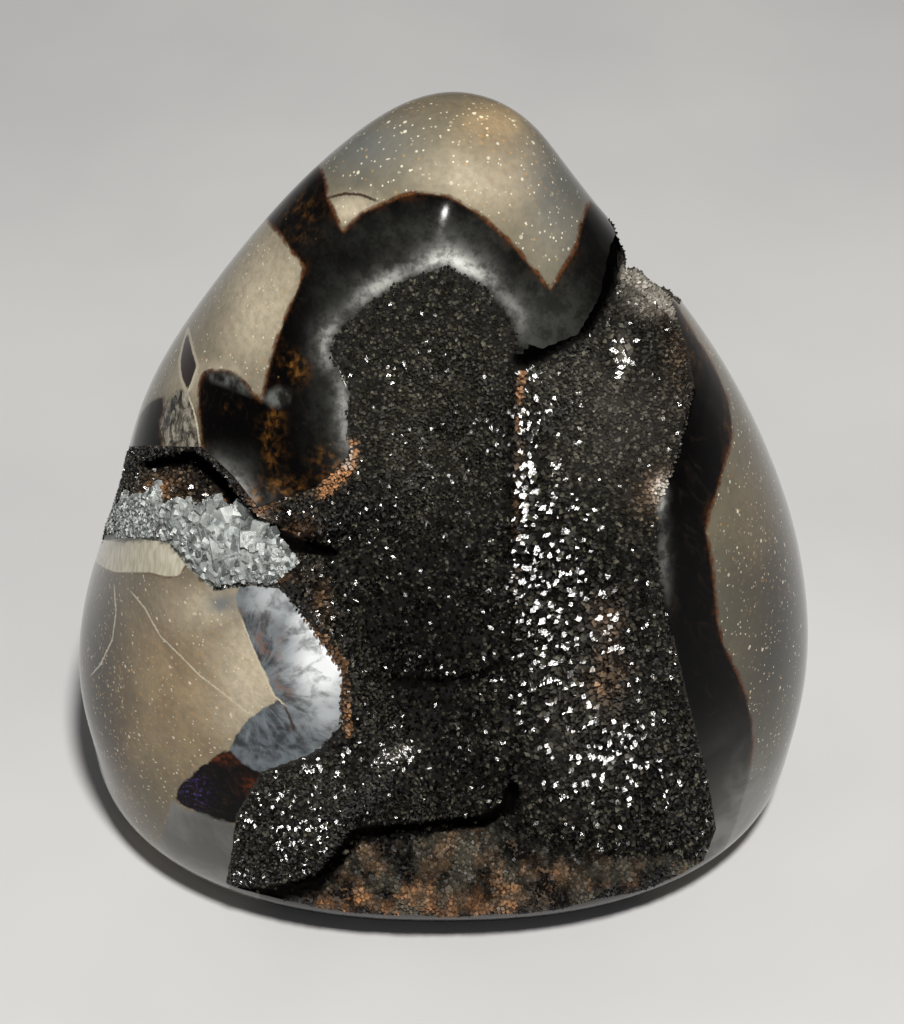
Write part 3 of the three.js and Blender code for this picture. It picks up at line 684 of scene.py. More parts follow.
# ---------- material nodes ----------


def linear(r, g, b):
    return tuple(((c / 255 + 0.055) / 1.055) ** 2.4 if c > 10 else c / 3294.6 for c in (r, g, b))


class Look:
    """A material, and short ways to add nodes to it.

    Places are in millimetres, and colours are given as they look on screen, from 0 to 255.
    """

    def __init__(self, name):
        self.material = bpy.data.materials.new(name)
        self.material.use_nodes = True
        self.tree = self.material.node_tree
        self.shader = self.tree.nodes["Principled BSDF"]
        inputs = {0: self.node("ShaderNodeTexCoord").outputs["Object"], "Scale": 1 / MM}
        self.place = self.node("ShaderNodeVectorMath", inputs, operation="SCALE").outputs[0]

    def node(self, kind, inputs=None, **settings):
        made = self.tree.nodes.new(kind)
        for key, value in settings.items():
            setattr(made, key, value)
        for key, value in (inputs or {}).items():
            self.put(made.inputs[key], value)
        return made

    def put(self, socket, value):
        if isinstance(value, bpy.types.NodeSocket):
            self.tree.links.new(value, socket)
        else:
            socket.default_value = value

    def field(self, name):
        return self.node("ShaderNodeAttribute", attribute_name=name).outputs["Fac"]

    def noise(self, size, detail=3, roughness=0.5, distortion=0, place=None):
        inputs = {
            "Vector": place or self.place,
            "Scale": 1 / size,
            "Detail": detail,
            "Roughness": roughness,
            "Distortion": distortion,
        }
        return self.node("ShaderNodeTexNoise", inputs).outputs["Fac"]

    def stretched(self, turn, stretch):
        """Places turned by these angles in degrees and then scaled, for streaks."""
        inputs = {"Vector": self.place, "Rotation": [math.radians(a) for a in turn]}
        turned = self.node("ShaderNodeMapping", inputs).outputs[0]
        return self.node("ShaderNodeMapping", {"Vector": turned, "Scale": stretch}).outputs[0]

    def cells(self, size, place=None):
        """Distance to the nearest cell's centre, and a number for each cell."""
        made = self.node("ShaderNodeTexVoronoi", {"Vector": place or self.place, "Scale": 1 / size})
        number = self.node("ShaderNodeSeparateColor", {0: made.outputs["Color"]}).outputs[0]
        return made.outputs["Distance"], number

    def math(self, operation, a, b=0):
        return self.node("ShaderNodeMath", {0: a, 1: b}, operation=operation).outputs[0]

    def times(self, a, b):
        return self.math("MULTIPLY", a, b)

    def plus(self, a, b):
        return self.math("ADD", a, b)

    def most(self, value, *others):
        """The greatest of several values."""
        for other in others:
            value = self.math("MAXIMUM", value, other)
        return value

    def rise(self, value, low, high, to_low=0, to_high=1):
        """Goes smoothly from to_low to to_high as value goes from low to high."""
        names = ("Value", "From Min", "From Max", "To Min", "To Max")
        inputs = dict(zip(names, (value, low, high, to_low, to_high)))
        return self.node("ShaderNodeMapRange", inputs, interpolation_type="SMOOTHSTEP").outputs[0]

    def over(self, colour, *layers):
        """A colour under several layers, each given as its share and its colour."""
        for share, tint in layers:
            colour = self.mix(share, colour, tint)
        return colour

    def mix(self, share, a, b):
        made = self.node("ShaderNodeMix", data_type="RGBA")
        for socket, value in ((made.inputs[0], share), (made.inputs[6], a), (made.inputs[7], b)):
            self.put(socket, (*linear(*value), 1) if isinstance(value, tuple) else value)
        return made.outputs[2]

    def bump(self, height, depth, strength):
        """A bump of this depth in millimetres."""
        inputs = {"Height": height, "Distance": depth * MM, "Strength": strength}
        return self.node("ShaderNodeBump", inputs).outputs[0]

    def finish(self, **inputs):
        for key, value in inputs.items():
            name = key.replace("_", " ").title().replace("Ior", "IOR")
            self.put(self.shader.inputs[name], value)
        return self.material


def polished_stone():
    look = Look("polished_stone")
    mix, over, rise = look.mix, look.over, look.rise
    noise, field, times = look.noise, look.field, look.times
    wander = noise(2.2, 4, 0.6)
    fine = noise(0.45, 4, 0.65)
    cloud = noise(9, 4, 0.55, 0.4)
    mottle = rise(noise(0.9, 5, 0.7), 0.35, 0.7)

    def edged(name, stray):
        """A marking's depth, with an uneven edge."""
        return look.plus(field(name), times(look.math("SUBTRACT", wander, 0.5), 2 * stray))

    def inside(depth, soft):
        return rise(depth, -soft, soft)

    def outlined(depth, width):
        """A line of this width along a marking's edge."""
        return rise(look.math("ABSOLUTE", depth), width, width * 0.3)

    def specks(size, width, share, place=None):
        """Spots of this width in some of the cells of this size."""
        distance, number = look.cells(size, place)
        return times(rise(distance, width, width * 0.5), rise(number, 1 - share, 1.02 - share))

    vein = edged("vein", 0.3)
    lens = edged("lens", 0.2)
    fibrous = edged("fibrous", 0.3)
    purple = edged("purple", 0.6)

    # Mudstone: tan to grey, with pale shell flecks and needles.
    patch = rise(cloud, 0.3, 0.7)
    needles = specks(0.9, 0.14, 0.3, look.stretched((0, 35, 20), (0.25, 1, 1.3)))
    flecks = specks(1.7, 0.17, 0.7), specks(1, 0.18, 0.5), specks(0.6, 0.24, 0.4), needles
    flecks = times(look.most(*flecks), rise(noise(3), 0.36, 0.6, 0.1, 0.8))
    tan = look.most(specks(0.8, 0.26, 0.14), times(field("warm"), specks(0.9, 0.36, 0.6)))
    stone = over(
        mix(patch, (118, 109, 88), (96, 91, 76)),
        (field("warm"), mix(patch, (172, 149, 112), (138, 116, 88))),
        (field("cream"), mix(patch, (228, 214, 186), (206, 191, 164))),
        (times(mottle, 0.3), (80, 74, 62)),
        (field("blue"), (104, 110, 112)),
        # Painted shade: darker towards the flanks and the top; behind, darker patches at random.
        (times(field("painted_shade_and_dark_patches"), 0.8), (24, 21, 18)),
        (flecks, (236, 226, 198)),
        (times(tan, 0.6), (178, 138, 84)),
    )

    # Dark calcite of the veins, nearly black, brown where light gets into it, with a painted grey sheen
    # over parts of the arch.
    streak = noise(1.6, 5, 0.6, 1.5, look.stretched((0, 40, 0), (1, 1, 0.35)))
    grey_sheen_cloud = rise(look.plus(wander, times(fine, 0.5)), 0.6, 0.9, 0.45, 1.1)
    amber = times(field("amber"), rise(noise(1.8, 4, 0.6), 0.4, 0.66))
    smoulder = rise(noise(0.9, 5, 0.6, 0.6), 0.4, 0.68)
    glow = times(rise(vein, 1.2, 0.2), rise(wander, 0.48, 0.68))
    dark = over(
        mix(rise(streak, 0.5, 0.8), (5, 4, 4), (24, 19, 14)),
        (times(field("painted_grey_sheen"), grey_sheen_cloud), (54, 55, 51)),
        (amber, mix(smoulder, (36, 20, 9), (128, 86, 38))),
        (times(field("amber"), specks(0.7, 0.24, 0.06)), (206, 166, 96)),
        (times(glow, 0.5), (62, 36, 18)),
    )
    rim = times(outlined(vein, 0.34), rise(wander, 0.3, 0.6, 0.15, 0.9))

    # The small markings in and beside the veins at left, and the fibrous band.
    bluish = mix(rise(wander, 0.35, 0.65), (104, 106, 102), (30, 29, 27))
    feather = noise(1.4, 6, 0.7, 0.6, look.stretched((0, 15, 0), (1.5, 1, 0.4)))
    lace = mix(rise(feather, 0.4, 0.7), (26, 21, 17), (176, 168, 150))
    threads = noise(0.8, 3, 0.5, 0.3, look.stretched((0, 0, 0), (1.6, 1, 0.16)))
    fibres = mix(rise(threads, 0.25, 0.75), (182, 172, 146), (220, 214, 192))

    # Silvery calcite: blue-grey fans with a painted white highlight on its shoulder, rusty along the
    # mudstone.
    inputs = {0: times(field("fan_turn"), 6.5), 1: times(field("fan_reach"), 0.3)}
    spokes = look.node("ShaderNodeCombineXYZ", inputs).outputs[0]
    fan = noise(1, 4, 0.65, 0.7, spokes)
    smoky = noise(2.6, 5, 0.6, 0.4)
    metal = over(
        mix(rise(smoky, 0.36, 0.64), (36, 39, 43), (98, 106, 112)),
        (times(rise(fan, 0.45, 0.65), 0.35), (140, 147, 150)),
        (times(field("painted_highlight"), rise(look.plus(fan, smoky), 0.76, 1.1, 0.4, 1.15)), (246, 248, 248)),
        (times(rise(noise(1.4, 4, 0.7), 0.45, 0.65), field("rusty")), (124, 92, 76)),
    )

    # The purple patch, and the grey stone below it; the grey at the lower right is a painted reflection.
    violet = over(
        mix(rise(noise(1.1, 4, 0.7), 0.5, 0.7), (7, 5, 5), (34, 22, 16)),
        (times(rise(fine, 0.5, 0.64), field("violet")), (84, 60, 130)),
        (times(field("rusty"), mottle), (132, 66, 28)),
    )
    slate = mix(rise(cloud, 0.35, 0.65), (122, 122, 118), (84, 82, 78))

    # All of them on the mudstone, and then the cracks, and a painted highlight that follows the rounded
    # lip.
    colour = over(
        stone,
        (inside(vein, 0.12), dark),
        (rim, mix(rise(fine, 0.35, 0.65), (48, 28, 16), (96, 58, 30))),
        (rise(edged("pale", 0.25), -0.5, 0.6), bluish),
        (inside(lens, 0.1), (34, 20, 15)),
        (outlined(lens, 0.26), (176, 166, 146)),
        (inside(edged("feathered", 0.7), 0.3), lace),
        (inside(fibrous, 0.1), fibres),
        (times(outlined(fibrous, 0.2), rise(wander, 0.3, 0.6)), (104, 84, 58)),
        (inside(edged("silver", 0.5), 0.15), metal),
        (inside(purple, 0.15), violet),
        (inside(edged("grey_tip", 0.6), 0.3), slate),
        # Painted reflection: the grey at the lower right.
        (look.math("MINIMUM", field("painted_foot_reflection"), 1), slate),
    )
    uneven = times(look.math("SUBTRACT", fine, 0.5), 0.4)
    for k in range(len(PALE_LINES) + len(DARK_LINES)):
        width, tint = (0.1, (206, 196, 170)) if k < len(PALE_LINES) else (0.16, (44, 24, 14))
        beside = look.math("ABSOLUTE", look.plus(field(f"line_{k}"), uneven))
        line = times(rise(beside, width * 1.5, width * 0.4), field(f"line_{k}_within"))
        colour = mix(times(line, rise(wander, 0.3, 0.5, 0.45, 0.9)), colour, tint)
    # Painted highlight along the rounded lip.
    painted_lip_highlight = times(field("painted_lip_highlight"), rise(noise(1.3, 5, 0.65), 0.38, 0.6, 0.35, 1))
    colour = mix(painted_lip_highlight, colour, (214, 213, 206))

    return look.finish(
        base_color=colour,
        roughness=rise(fine, 0.2, 0.8, 0.08, 0.15),
        ior=1.37,
        specular_ior_level=rise(look.most(vein, purple), -0.12, 0.12, 0.5, 0.1),
        normal=look.bump(look.plus(noise(7, 2), times(fine, 0.03)), 0.1, 0.5),
    )


def broken_stone():
    """The bare ledges of the hollow: rough dark calcite."""
    look = Look("broken_stone")
    grain = look.noise(0.4, 5, 0.7)
    cloud = look.noise(2.5, 4, 0.6)
    dull = look.mix(look.rise(grain, 0.35, 0.7), (8, 7, 6), (48, 44, 38))
    dull = look.mix(look.rise(cloud, 0.58, 0.72, 0, 0.6), dull, (74, 50, 30))
    colour = look.mix(look.field("lit"), (4, 4, 4), dull)
    sill = look.mix(look.rise(grain, 0.4, 0.6), (80, 80, 74), (160, 160, 150))
    return look.finish(
        base_color=look.mix(look.field("sill"), colour, sill),
        roughness=look.rise(grain, 0.3, 0.7, 0.3, 0.5),
        specular_ior_level=look.times(look.field("lit"), 0.3),
        normal=look.bump(look.plus(grain, look.times(cloud, 2)), 0.2, 0.8),
    )


def druse_look():
    look = Look("druse")
    tone = look.field("tone")
    colour = look.over(
        look.mix(tone, (5, 4, 4), (118, 112, 96)),
        (look.rise(look.noise(0.7, 4, 0.6), 0.4, 0.75, 0, 0.7), (14, 12, 10)),
        (look.field("rust"), look.mix(tone, (24, 16, 11), (192, 138, 92))),
        (look.field("pale"), look.mix(tone, (110, 104, 94), (220, 214, 202))),
    )
    return look.finish(
        base_color=colour,
        roughness=look.field("rough"),
        ior=1.55,
        specular_ior_level=look.times(look.field("lit"), 0.5),
        normal=look.bump(look.noise(0.22, 2), 0.05, 0.6),
    )


def calcite_look():
    look = Look("pale_calcite")
    cloud = look.noise(1.4, 5, 0.65)
    striae = look.noise(0.5, 4, 0.7, 0.4, look.stretched((43, 12, 0), (1.4, 1.4, 0.16)))
    colour = look.mix(look.field("tone"), (50, 53, 51), (244, 247, 242))
    _, facet = look.cells(0.8)
    for low, high, strength, tint in ((0.45, 1, 0.7, (216, 222, 219)), (0.4, 0, 0.6, (70, 76, 76))):
        share = look.times(look.field("mosaic"), look.rise(facet, low, high))
        colour = look.mix(look.times(share, strength), colour, tint)
    colour = look.over(
        colour,
        (look.rise(cloud, 0.4, 0.65, 0, 0.4), (128, 138, 138)),
        (look.rise(striae, 0.54, 0.66, 0, 0.35), (232, 235, 232)),
        (look.rise(look.noise(0.9, 4, 0.6), 0.56, 0.66, 0, 0.7), (60, 61, 56)),
    )
    return look.finish(
        base_color=colour,
        roughness=look.rise(striae, 0.3, 0.7, 0.1, 0.3),
        ior=1.5,
        transmission_weight=0.2,
        normal=look.bump(look.plus(cloud, striae), 0.15, 0.7),
    )


def floor_look():
    look = Look("table")
    grain = look.noise(1.2, 4, 0.6)
    return look.finish(
        base_color=look.mix(look.rise(look.noise(60), 0.3, 0.7), (206, 205, 203), (198, 197, 196)),
        roughness=look.rise(grain, 0.3, 0.7, 0.45, 0.55),
        normal=look.bump(grain, 0.02, 0.5),
    )


# ---------- the stone ----------

# Soft spots of each tint: u, v, radius in u, radius in v, strength.
TINTS = {
    "warm": [
        (-31, 14, 10, 14, 0.9), (-39, 10, 5, 14, 0.8), (5.5, 75, 3.5, 3.5, 1), (9, 70, 4, 4, 0.5),
        (38, 32, 4, 9, 0.5), (-4, 78, 6, 4, 0.3),
    ],
    "cream": [
        (-20, 57, 8, 9, 0.65), (4, 68.5, 7, 3.5, 0.45), (12, 65, 4, 5, 0.2), (-21.5, 16, 4.5, 8, 1.0),
        (-26, 23.5, 6, 3, 0.7), (-25, 49, 5, 3, 0.6), (-23, 11, 4, 3, 0.6), (-9.5, 66, 3, 1.6, 0.7),
    ],
    # Painted shade towards the flanks and the top of the stone.
    "painted_shade_and_dark_patches": [
        (-42, 12, 5.5, 24, 1.0), (40, 22, 8, 24, 1.1), (-26, 62, 4, 9, 0.5), (16, 71, 6, 9, 0.6),
        (2, 84, 15, 6, 0.75), (-38, 2, 8, 5, 0.5),
    ],
    "blue": [(-24.6, 24.2, 1.8, 1.2, 0.9), (12, 69, 4, 8, 0.6), (-8, 73, 6, 4, 0.6)],
    # Painted grey sheen on the dark veins of the arch.
    "painted_grey_sheen": [
        (0, 63, 12, 2.5, 0.6), (11, 54, 5, 6, 0.9), (-11, 55, 3, 6, 0.5), (-12, 45, 2.5, 5, 0.5),
        (-24, 39.5, 3, 1.6, 1),
    ],
    "amber": [
        (-18.2, 42.6, 1.1, 3.4, 0.8), (-15.8, 49.6, 1.6, 1.4, 0.8), (-17.6, 37, 3, 0.9, 1),
        (-15.5, 66, 2.5, 3, 0.35), (-12, 39.4, 1.4, 1.6, 1.2), (-20.5, 36, 1.6, 1, 1),
        (-23, 45.8, 1, 0.6, 0.4), (28, 53, 1.5, 3, 0.3), (32, 44, 0.8, 1.6, 0.5),
    ],
    # Painted highlight on the shoulder of the silvery calcite.
    "painted_highlight": [
        (-13.4, 17.6, 3.2, 4.4, 1.1), (-18.5, 25, 3, 2.6, 0.4), (-15, 22, 2, 2.6, 0.8),
        (-13, 12, 2.6, 2.6, 0.35),
    ],
    "rusty": [
        (-22.9, 24, 0.7, 1.6, 1.0), (-20, 19.5, 1.8, 2.6, 1.0), (-18, 14.6, 1.4, 1.6, 0.9),
        (-22.4, 2.4, 1.1, 1.1, 0.7), (-25.4, 5.8, 2, 0.6, 0.7), (-14.5, 10, 3, 0.5, 0.7),
    ],
    "violet": [(-29.4, 1.6, 1.6, 2, 1.0)],
    # Painted reflection at the lower right, in the grey of the stone below the purple patch.
    "painted_foot_reflection": [(35.5, -4, 5.5, 8, 1.3)],
}
UNSEEN = {"warm": 0.7, "cream": 0.8, "painted_shade_and_dark_patches": 0.6}  # how strong some of them are behind
# A painted highlight: the milky band that follows the rounded lip, just outside the rim.
PAINTED_LIP_HIGHLIGHTS = [
    (1.5, 60.5, 4.5, 3.5, 0.85), (-6.5, 58, 4, 3, 0.5), (8, 56.5, 2.5, 3, 0.25),
    (-12.5, 52.5, 2.5, 3.5, 0.36), (-10, 45, 2, 4, 0.4), (24.5, 29, 1, 4, 0.15),
    (23.6, 35.5, 0.8, 1.6, 0.5), (-22, 37.5, 3, 3, 0.35),
]


def cracks_behind(points):
    """The vein network of the unseen back: how far each point lies inside a vein."""
    x, y, z = points.T
    bend = [
        layered(y, z, [(1, 15, 24), (0.4, 5, 27)]),
        layered(x, z, [(1, 15, 25), (0.4, 5, 28)]),
        lumps(x, y, 15, 26),
    ]
    bent = points + 9 * np.stack(bend, -1)
    centres = np.random.default_rng(4).uniform([-42, -32, 4], [51, 41, 109], (BLOCKS_BEHIND, 3))
    distance = np.sort(np.linalg.norm(bent[:, None] - centres, axis=2), axis=1)
    width = -0.7 + 3 * lumps(x, z, 17, 21) + lumps(y, z, 6, 22)
    return width - (distance[:, 1] - distance[:, 0]) / 2


def paint(mesh):
    """Stores how deep each point lies inside each marking, and returns the outside's normals."""
    points = corners(mesh)
    u, v, _ = from_body(points)
    normals, _ = outward(points)
    behind = smoothstep(0.12, -0.3, -turn_in(*normals.T)[2])

    def keep(name, in_front, at_back=0):
        store(mesh, **{name: in_front * (1 - behind) + at_back * behind})

    for name, outlines in OUTLINES.items():
        depth = np.max([depth_inside(outline, u, v) for outline in outlines], 0)
        keep(name, depth, cracks_behind(points) if name == "vein" else OUTSIDE_ALL)
    for k, line in enumerate(PALE_LINES + DARK_LINES):
        beside, within = signed_gap(line, u, v)
        store(mesh, **{f"line_{k}": beside, f"line_{k}_within": within * (1 - behind)})
    for seed, (name, spots) in enumerate(TINTS.items(), 31):
        keep(name, spread(spots, u, v), UNSEEN.get(name, 0) * lumps(points[:, 0], points[:, 2], 15, seed))
    beyond = -depth_inside([(a[0], a[1]) for a in MOUTH], u, v)
    fade = np.exp(-((beyond / 0.75) ** 2)) + 0.2 * np.exp(-(((beyond - 1) / 1.4) ** 2))
    # Painted highlight along the lip, fading away from the rim.
    keep("painted_lip_highlight", spread(PAINTED_LIP_HIGHLIGHTS, u, v) * fade)
    keep("fan_turn", np.arctan2(v - FAN_V, u - FAN_U))
    keep("fan_reach", np.hypot(v - FAN_V, u - FAN_U))
    keep("sill", 1 - smoothstep(1, 1.5, from_sill(u, v)))
    keep("lit", 1 - along_lines(FISSURES, u, v), 1)
    return normals


def make_nodule(hollow, polished, broken):
    stone = make_outside("nodule_stone", 0)
    give_slots(stone, polished, broken)
    tool = in_front_of("hollow_tool", hollow, hollow.wall, 1)
    give_slots(tool, polished, broken)
    cut(stone, tool, "DIFFERENCE")
    mesh = stone.data
    outside = paint(mesh)
    points = corners(mesh)
    u, v, _ = from_body(points)
    slope_v, slope_u = np.gradient(hollow.wall, STEP)
    wall = turn_out(hollow.sample(slope_u, u, v), hollow.sample(slope_v, u, v), -1)
    wall /= np.linalg.norm(wall, axis=1)[:, None]
    start, size = read(mesh.polygons, "loop_start"), read(mesh.polygons, "loop_total")
    kind = read(mesh.polygons, "material_index")
    corner = read(mesh.loops, "vertex_index")
    normals = np.where(np.repeat(kind == 1, size)[:, None], wall[corner], outside[corner])
    set_all(mesh.polygons, "use_smooth", True)
    bare = hollow.sample(hollow.bare, u, v)
    reach = 0.9 * bare + 0.4 * smoothstep(0.9, 1.8, bare)
    lip = (bare > 0.9) & (hollow.sample(hollow.gap, u, v) < reach)
    on_lip = np.minimum.reduceat(lip[corner].astype(int), start) == 1
    mesh.polygons.foreach_set("material_index", np.where(on_lip, 0, kind).astype(np.int32))
    flat = np.repeat([p.normal[2] < -0.99 for p in mesh.polygons], size)
    normals[flat & (points[corner][:, 2] < 0.01)] = (0, 0, -1)
    mesh.normals_split_custom_set(normals.tolist())
    return stone


# ---------- the crust and its crystals ----------

# Where the druse is rusty, pale (in places a painted highlight), coarse or glinting: u, v, radius in u,
# radius in v, strength.
RUSTY = [
    (-13, 38.7, 1.8, 1.8, 1.4), (-19.5, 36, 2, 2, 0.9), (-16, 37.5, 3, 1.2, 0.7),
    (-16, 32.4, 2.2, 1.4, 1.3), (24, 36.3, 2.2, 2.2, 1.2), (18.8, 15.2, 2.2, 3, 0.7),
    (8.4, 36, 0.5, 12, 0.35), (18.6, 21, 2, 4, 0.4), (-31, 37, 3, 2, 0.8), (-24, 35, 2, 2, 0.7),
    (5, -12.7, 7, 1.3, 0.6), (-13, -13.2, 6, 1.2, 0.7), (14, -10, 3, 1.6, 0.4), (26, 52, 2, 5, 0.25),
    (24.5, 57, 3, 2, 0.3), (-18, 27.4, 2, 0.8, 0.8), (-13.6, 23.6, 1, 3, 0.5),
]
# Pale crystals; those on the rim at the upper right and on the right lip are a painted highlight.
PALE_AND_HIGHLIGHT_SPOTS = [
    (19.5, 51.5, 0.8, 2.4, 1), (24.3, 36.6, 1.5, 1.7, 1.3), (-11.5, 41, 1.4, 1, 0.8), (18, 45, 7, 7, 0.2),
    (-5.5, 6, 1.6, 1, 0.4), (16, 12, 6, 12, 0.12), (22, 57.4, 2.6, 1.6, 0.6),
]
GREYER = [(0, 46, 12, 12, 0.15), (20, 42, 8, 10, 0.1), (-16, 4, 6, 5, 0.1), (15, 59, 4, 6, 0.15)]
SHADED = [(-2, 20, 9, 13, 0.5), (3, 3, 7, 4, 0.35), (22, 46, 3, 6, 0.2)]
COARSE = [
    (15, 14, 7, 18, 0.9), (-15, 8, 4, 3, 1), (10, 34, 2.5, 12, 0.9), (22, 4, 6, 9, 0.6),
    (19.5, 51.5, 1.5, 3, 0.8),
]
GLINTING = [
    (12, 24, 4, 14, 0.2), (20, 20, 3, 7, 0.1), (9.2, 34, 1.3, 11, 0.4), (19.5, 51.5, 1, 2.6, 0.5),
    (-5.5, 6, 2, 1.4, 0.35), (3, 16.5, 4, 1.2, 0.12), (-15, 7.5, 4, 2.8, 0.25), (-18, -2, 5, 4, 0.13),
    (19, 5, 7, 6, 0.13), (-31, 36, 6, 2, 0.05), (-8, 24, 8, 8, 0.015),
]
# Lines of rusty or pale crystals, the pale ones in places a painted highlight: points along each, its
# half width and strength.
RUSTY_LINES = [
    ([(-16, 22.8), (-13.3, 20.4), (-11.2, 17.3), (-10.8, 13.4), (-10.7, 9.5)], 0.7, 0.7),
    ([(8.4, 50), (8.2, 46.5)], 0.5, 1),
    ([(8.1, 44.6), (8.2, 43.4)], 0.4, 1),
    ([(-9.6, 41.5), (-10, 39), (-13, 36.6)], 0.9, 1.4),
    ([(-21, 34.4), (-17.5, 33), (-15, 32.6)], 0.7, 0.9),
]
# The last line, along the rim at the upper right, is a painted highlight.
PALE_AND_HIGHLIGHT_EDGES = [
    ([(-16.8, 22.6), (-14.4, 20.4), (-12.3, 17.6), (-11.9, 14.5)], 0.35, 1),
    ([(-9.8, 41), (-10.2, 39.4)], 0.6, 0.6),
    ([(-20, 34), (-18, 33.4)], 0.5, 0.5),
    ([(19.5, 60.6), (21.5, 59.4), (24, 58), (26, 56.4)], 1.3, 1),
]
BLADE = (-23.8, 31.2, 3, 3.4, 1)  # the large clear crystal of the calcite
BLADE_RADIUS, BLADE_HEIGHT, BLADE_TURN = 2.3, 8.5, 0.5
CALCITE_END = (-38, 33, 3, 2.6, 1)  # where the calcite's crystals sit on the dark crust
FINEST = 0.27  # spacing of the finest crystals
COARSEST = 0.66
TRIES = 24  # places tried on each square millimetre of crust
TRIES_ON_CALCITE = 16
STRAY_GLINTS = 0.004  # the share of crystals that glint anywhere
CALCITE_GLINTS = 0.12
GLINT_ROUGHNESS = 0.12
LEAST_ROOM = 0.12  # under the outside, for a crystal to stand there
SUNK = 0.5  # the share of a crystal that lies in its ground
SUNK_IN_CALCITE = 0.6
# Painted light and shade on each crystal: how light it is at each of its corners, from its tip down to
# the foot.
PAINTED_SHADE_BY_CORNER = np.array([1.2, 1, 1, 1, 0.5, 0.5, 0.5, 0.1])
VIEW_ELEVATION = math.radians(43)
VIEW_DISTANCE = 320
VIEW_CENTRE = np.array([1, -4, 47])
BACK = np.array([0, -math.cos(VIEW_ELEVATION), math.sin(VIEW_ELEVATION)])
EYE = VIEW_CENTRE + VIEW_DISTANCE * BACK
NEAR_LIGHT = np.array([-23, -308, 249])


def make_crust(hollow, material):
    crust = in_front_of("druse_ground", hollow, hollow.wall + CRUST_BACK, 1)
    open_space = in_front_of("crust_tool", hollow, hollow.crust(), 0)
    rim = make_outside("outside_tool", SKIN)
    for solid in (crust, open_space, rim):
        give_slots(solid, material, material)
    set_all(rim.data.polygons, "material_index", 1)
    cut(crust, open_space, "DIFFERENCE")
    cut(crust, rim, "INTERSECT")
    return crust


def triangles_of(mesh, kind):
    """The corners of all triangles of one kind of face."""
    mesh.calc_loop_triangles()
    owner = read(mesh.loop_triangles, "polygon_index")
    chosen = read(mesh.polygons, "material_index")[owner] == kind
    return corners(mesh)[read(mesh.loop_triangles, "vertices", 3)[chosen]]


def places_on(triangles, spacing_at, per_area):
    """Random places on triangles, kept apart by the local spacing."""
    a, b, c = triangles[:, 0], triangles[:, 1], triangles[:, 2]
    cross = np.cross(b - a, c - a)
    area = np.linalg.norm(cross, axis=1)
    count = int(per_area * area.sum() / 2)
    chosen = RANDOM.choice(len(area), count, p=area / area.sum())
    a, b = np.sqrt(RANDOM.random(count)), RANDOM.random(count)
    share = np.stack([1 - a, a * (1 - b), a * b], -1)
    places = (triangles[chosen] * share[:, :, None]).sum(1)
    normals = cross[chosen] / area[chosen][:, None]
    u, v, _ = from_body(places)
    spacing = spacing_at(u, v)
    kept = []
    taken = {}
    cells = (places // COARSEST).astype(int).tolist()
    around = [(i, j, k) for i in (-1, 0, 1) for j in (-1, 0, 1) for k in (-1, 0, 1)]
    tried = zip(cells, places.tolist(), (spacing**2).tolist())
    for n, ((i, j, k), (x, y, z), gap) in enumerate(tried):
        near = (p for di, dj, dk in around for p in taken.get((i + di, j + dj, k + dk), ()))
        if all((x - p[0]) ** 2 + (y - p[1]) ** 2 + (z - p[2]) ** 2 >= gap for p in near):
            taken.setdefault((i, j, k), []).append((x, y, z))
            kept.append(n)
    return places[kept], normals[kept], spacing[kept]


def unit(vectors):
    return vectors / np.linalg.norm(vectors, axis=-1)[..., None]


def sideways(axes):
    """Two directions square to each axis and to each other."""
    helper = np.where(np.abs(axes[:, 2:3]) < 0.9, [[0, 0, 1]], [[1, 0, 0]])
    side = unit(np.cross(helper, axes))
    return side, np.cross(axes, side)


def turned_to_glint(places, normals, slope):
    """Axes and turns for crystals that have one face square to the light's way into the eye."""
    stray = RANDOM.normal(0, 0.06, places.shape)
    face = unit(unit(EYE - places) + unit(NEAR_LIGHT - places) + stray)
    tilt = np.arctan(slope)[:, None]
    toward = unit(normals - face * (normals * face).sum(1)[:, None])
    axes = unit(np.cos(tilt) * face + np.sin(tilt) * toward)
    out = face - np.cos(tilt) * axes
    side, other = sideways(axes)
    return axes, np.arctan2((out * other).sum(1), (out * side).sum(1)) - math.radians(60)


def crystal_mesh(places, axes, turns, radius, height, sunk):
    """Rhombs that stand on one corner, each along its own axis: points and faces."""
    side, other = sideways(axes)
    points = np.zeros((len(places), 8, 3))
    points[:, 0] = places + axes * (height * (1 - sunk))[:, None]
    points[:, 7] = places - axes * (height * sunk)[:, None]
    for k, angle in enumerate([0, 120, 240, 60, 180, 300]):
        a = turns + math.radians(angle)
        out = side * np.cos(a)[:, None] + other * np.sin(a)[:, None]
        level = (2 / 3 if k < 3 else 1 / 3) - sunk
        points[:, k + 1] = places + out * radius[:, None] + axes * (height * level)[:, None]
    quads = [[0, 1, 4, 2], [0, 2, 5, 3], [0, 3, 6, 1], [7, 4, 1, 6], [7, 5, 2, 4], [7, 6, 3, 5]]
    faces = (np.arange(len(places)) * 8)[:, None, None] + quads
    return points.reshape(-1, 3), faces.reshape(-1, 4)


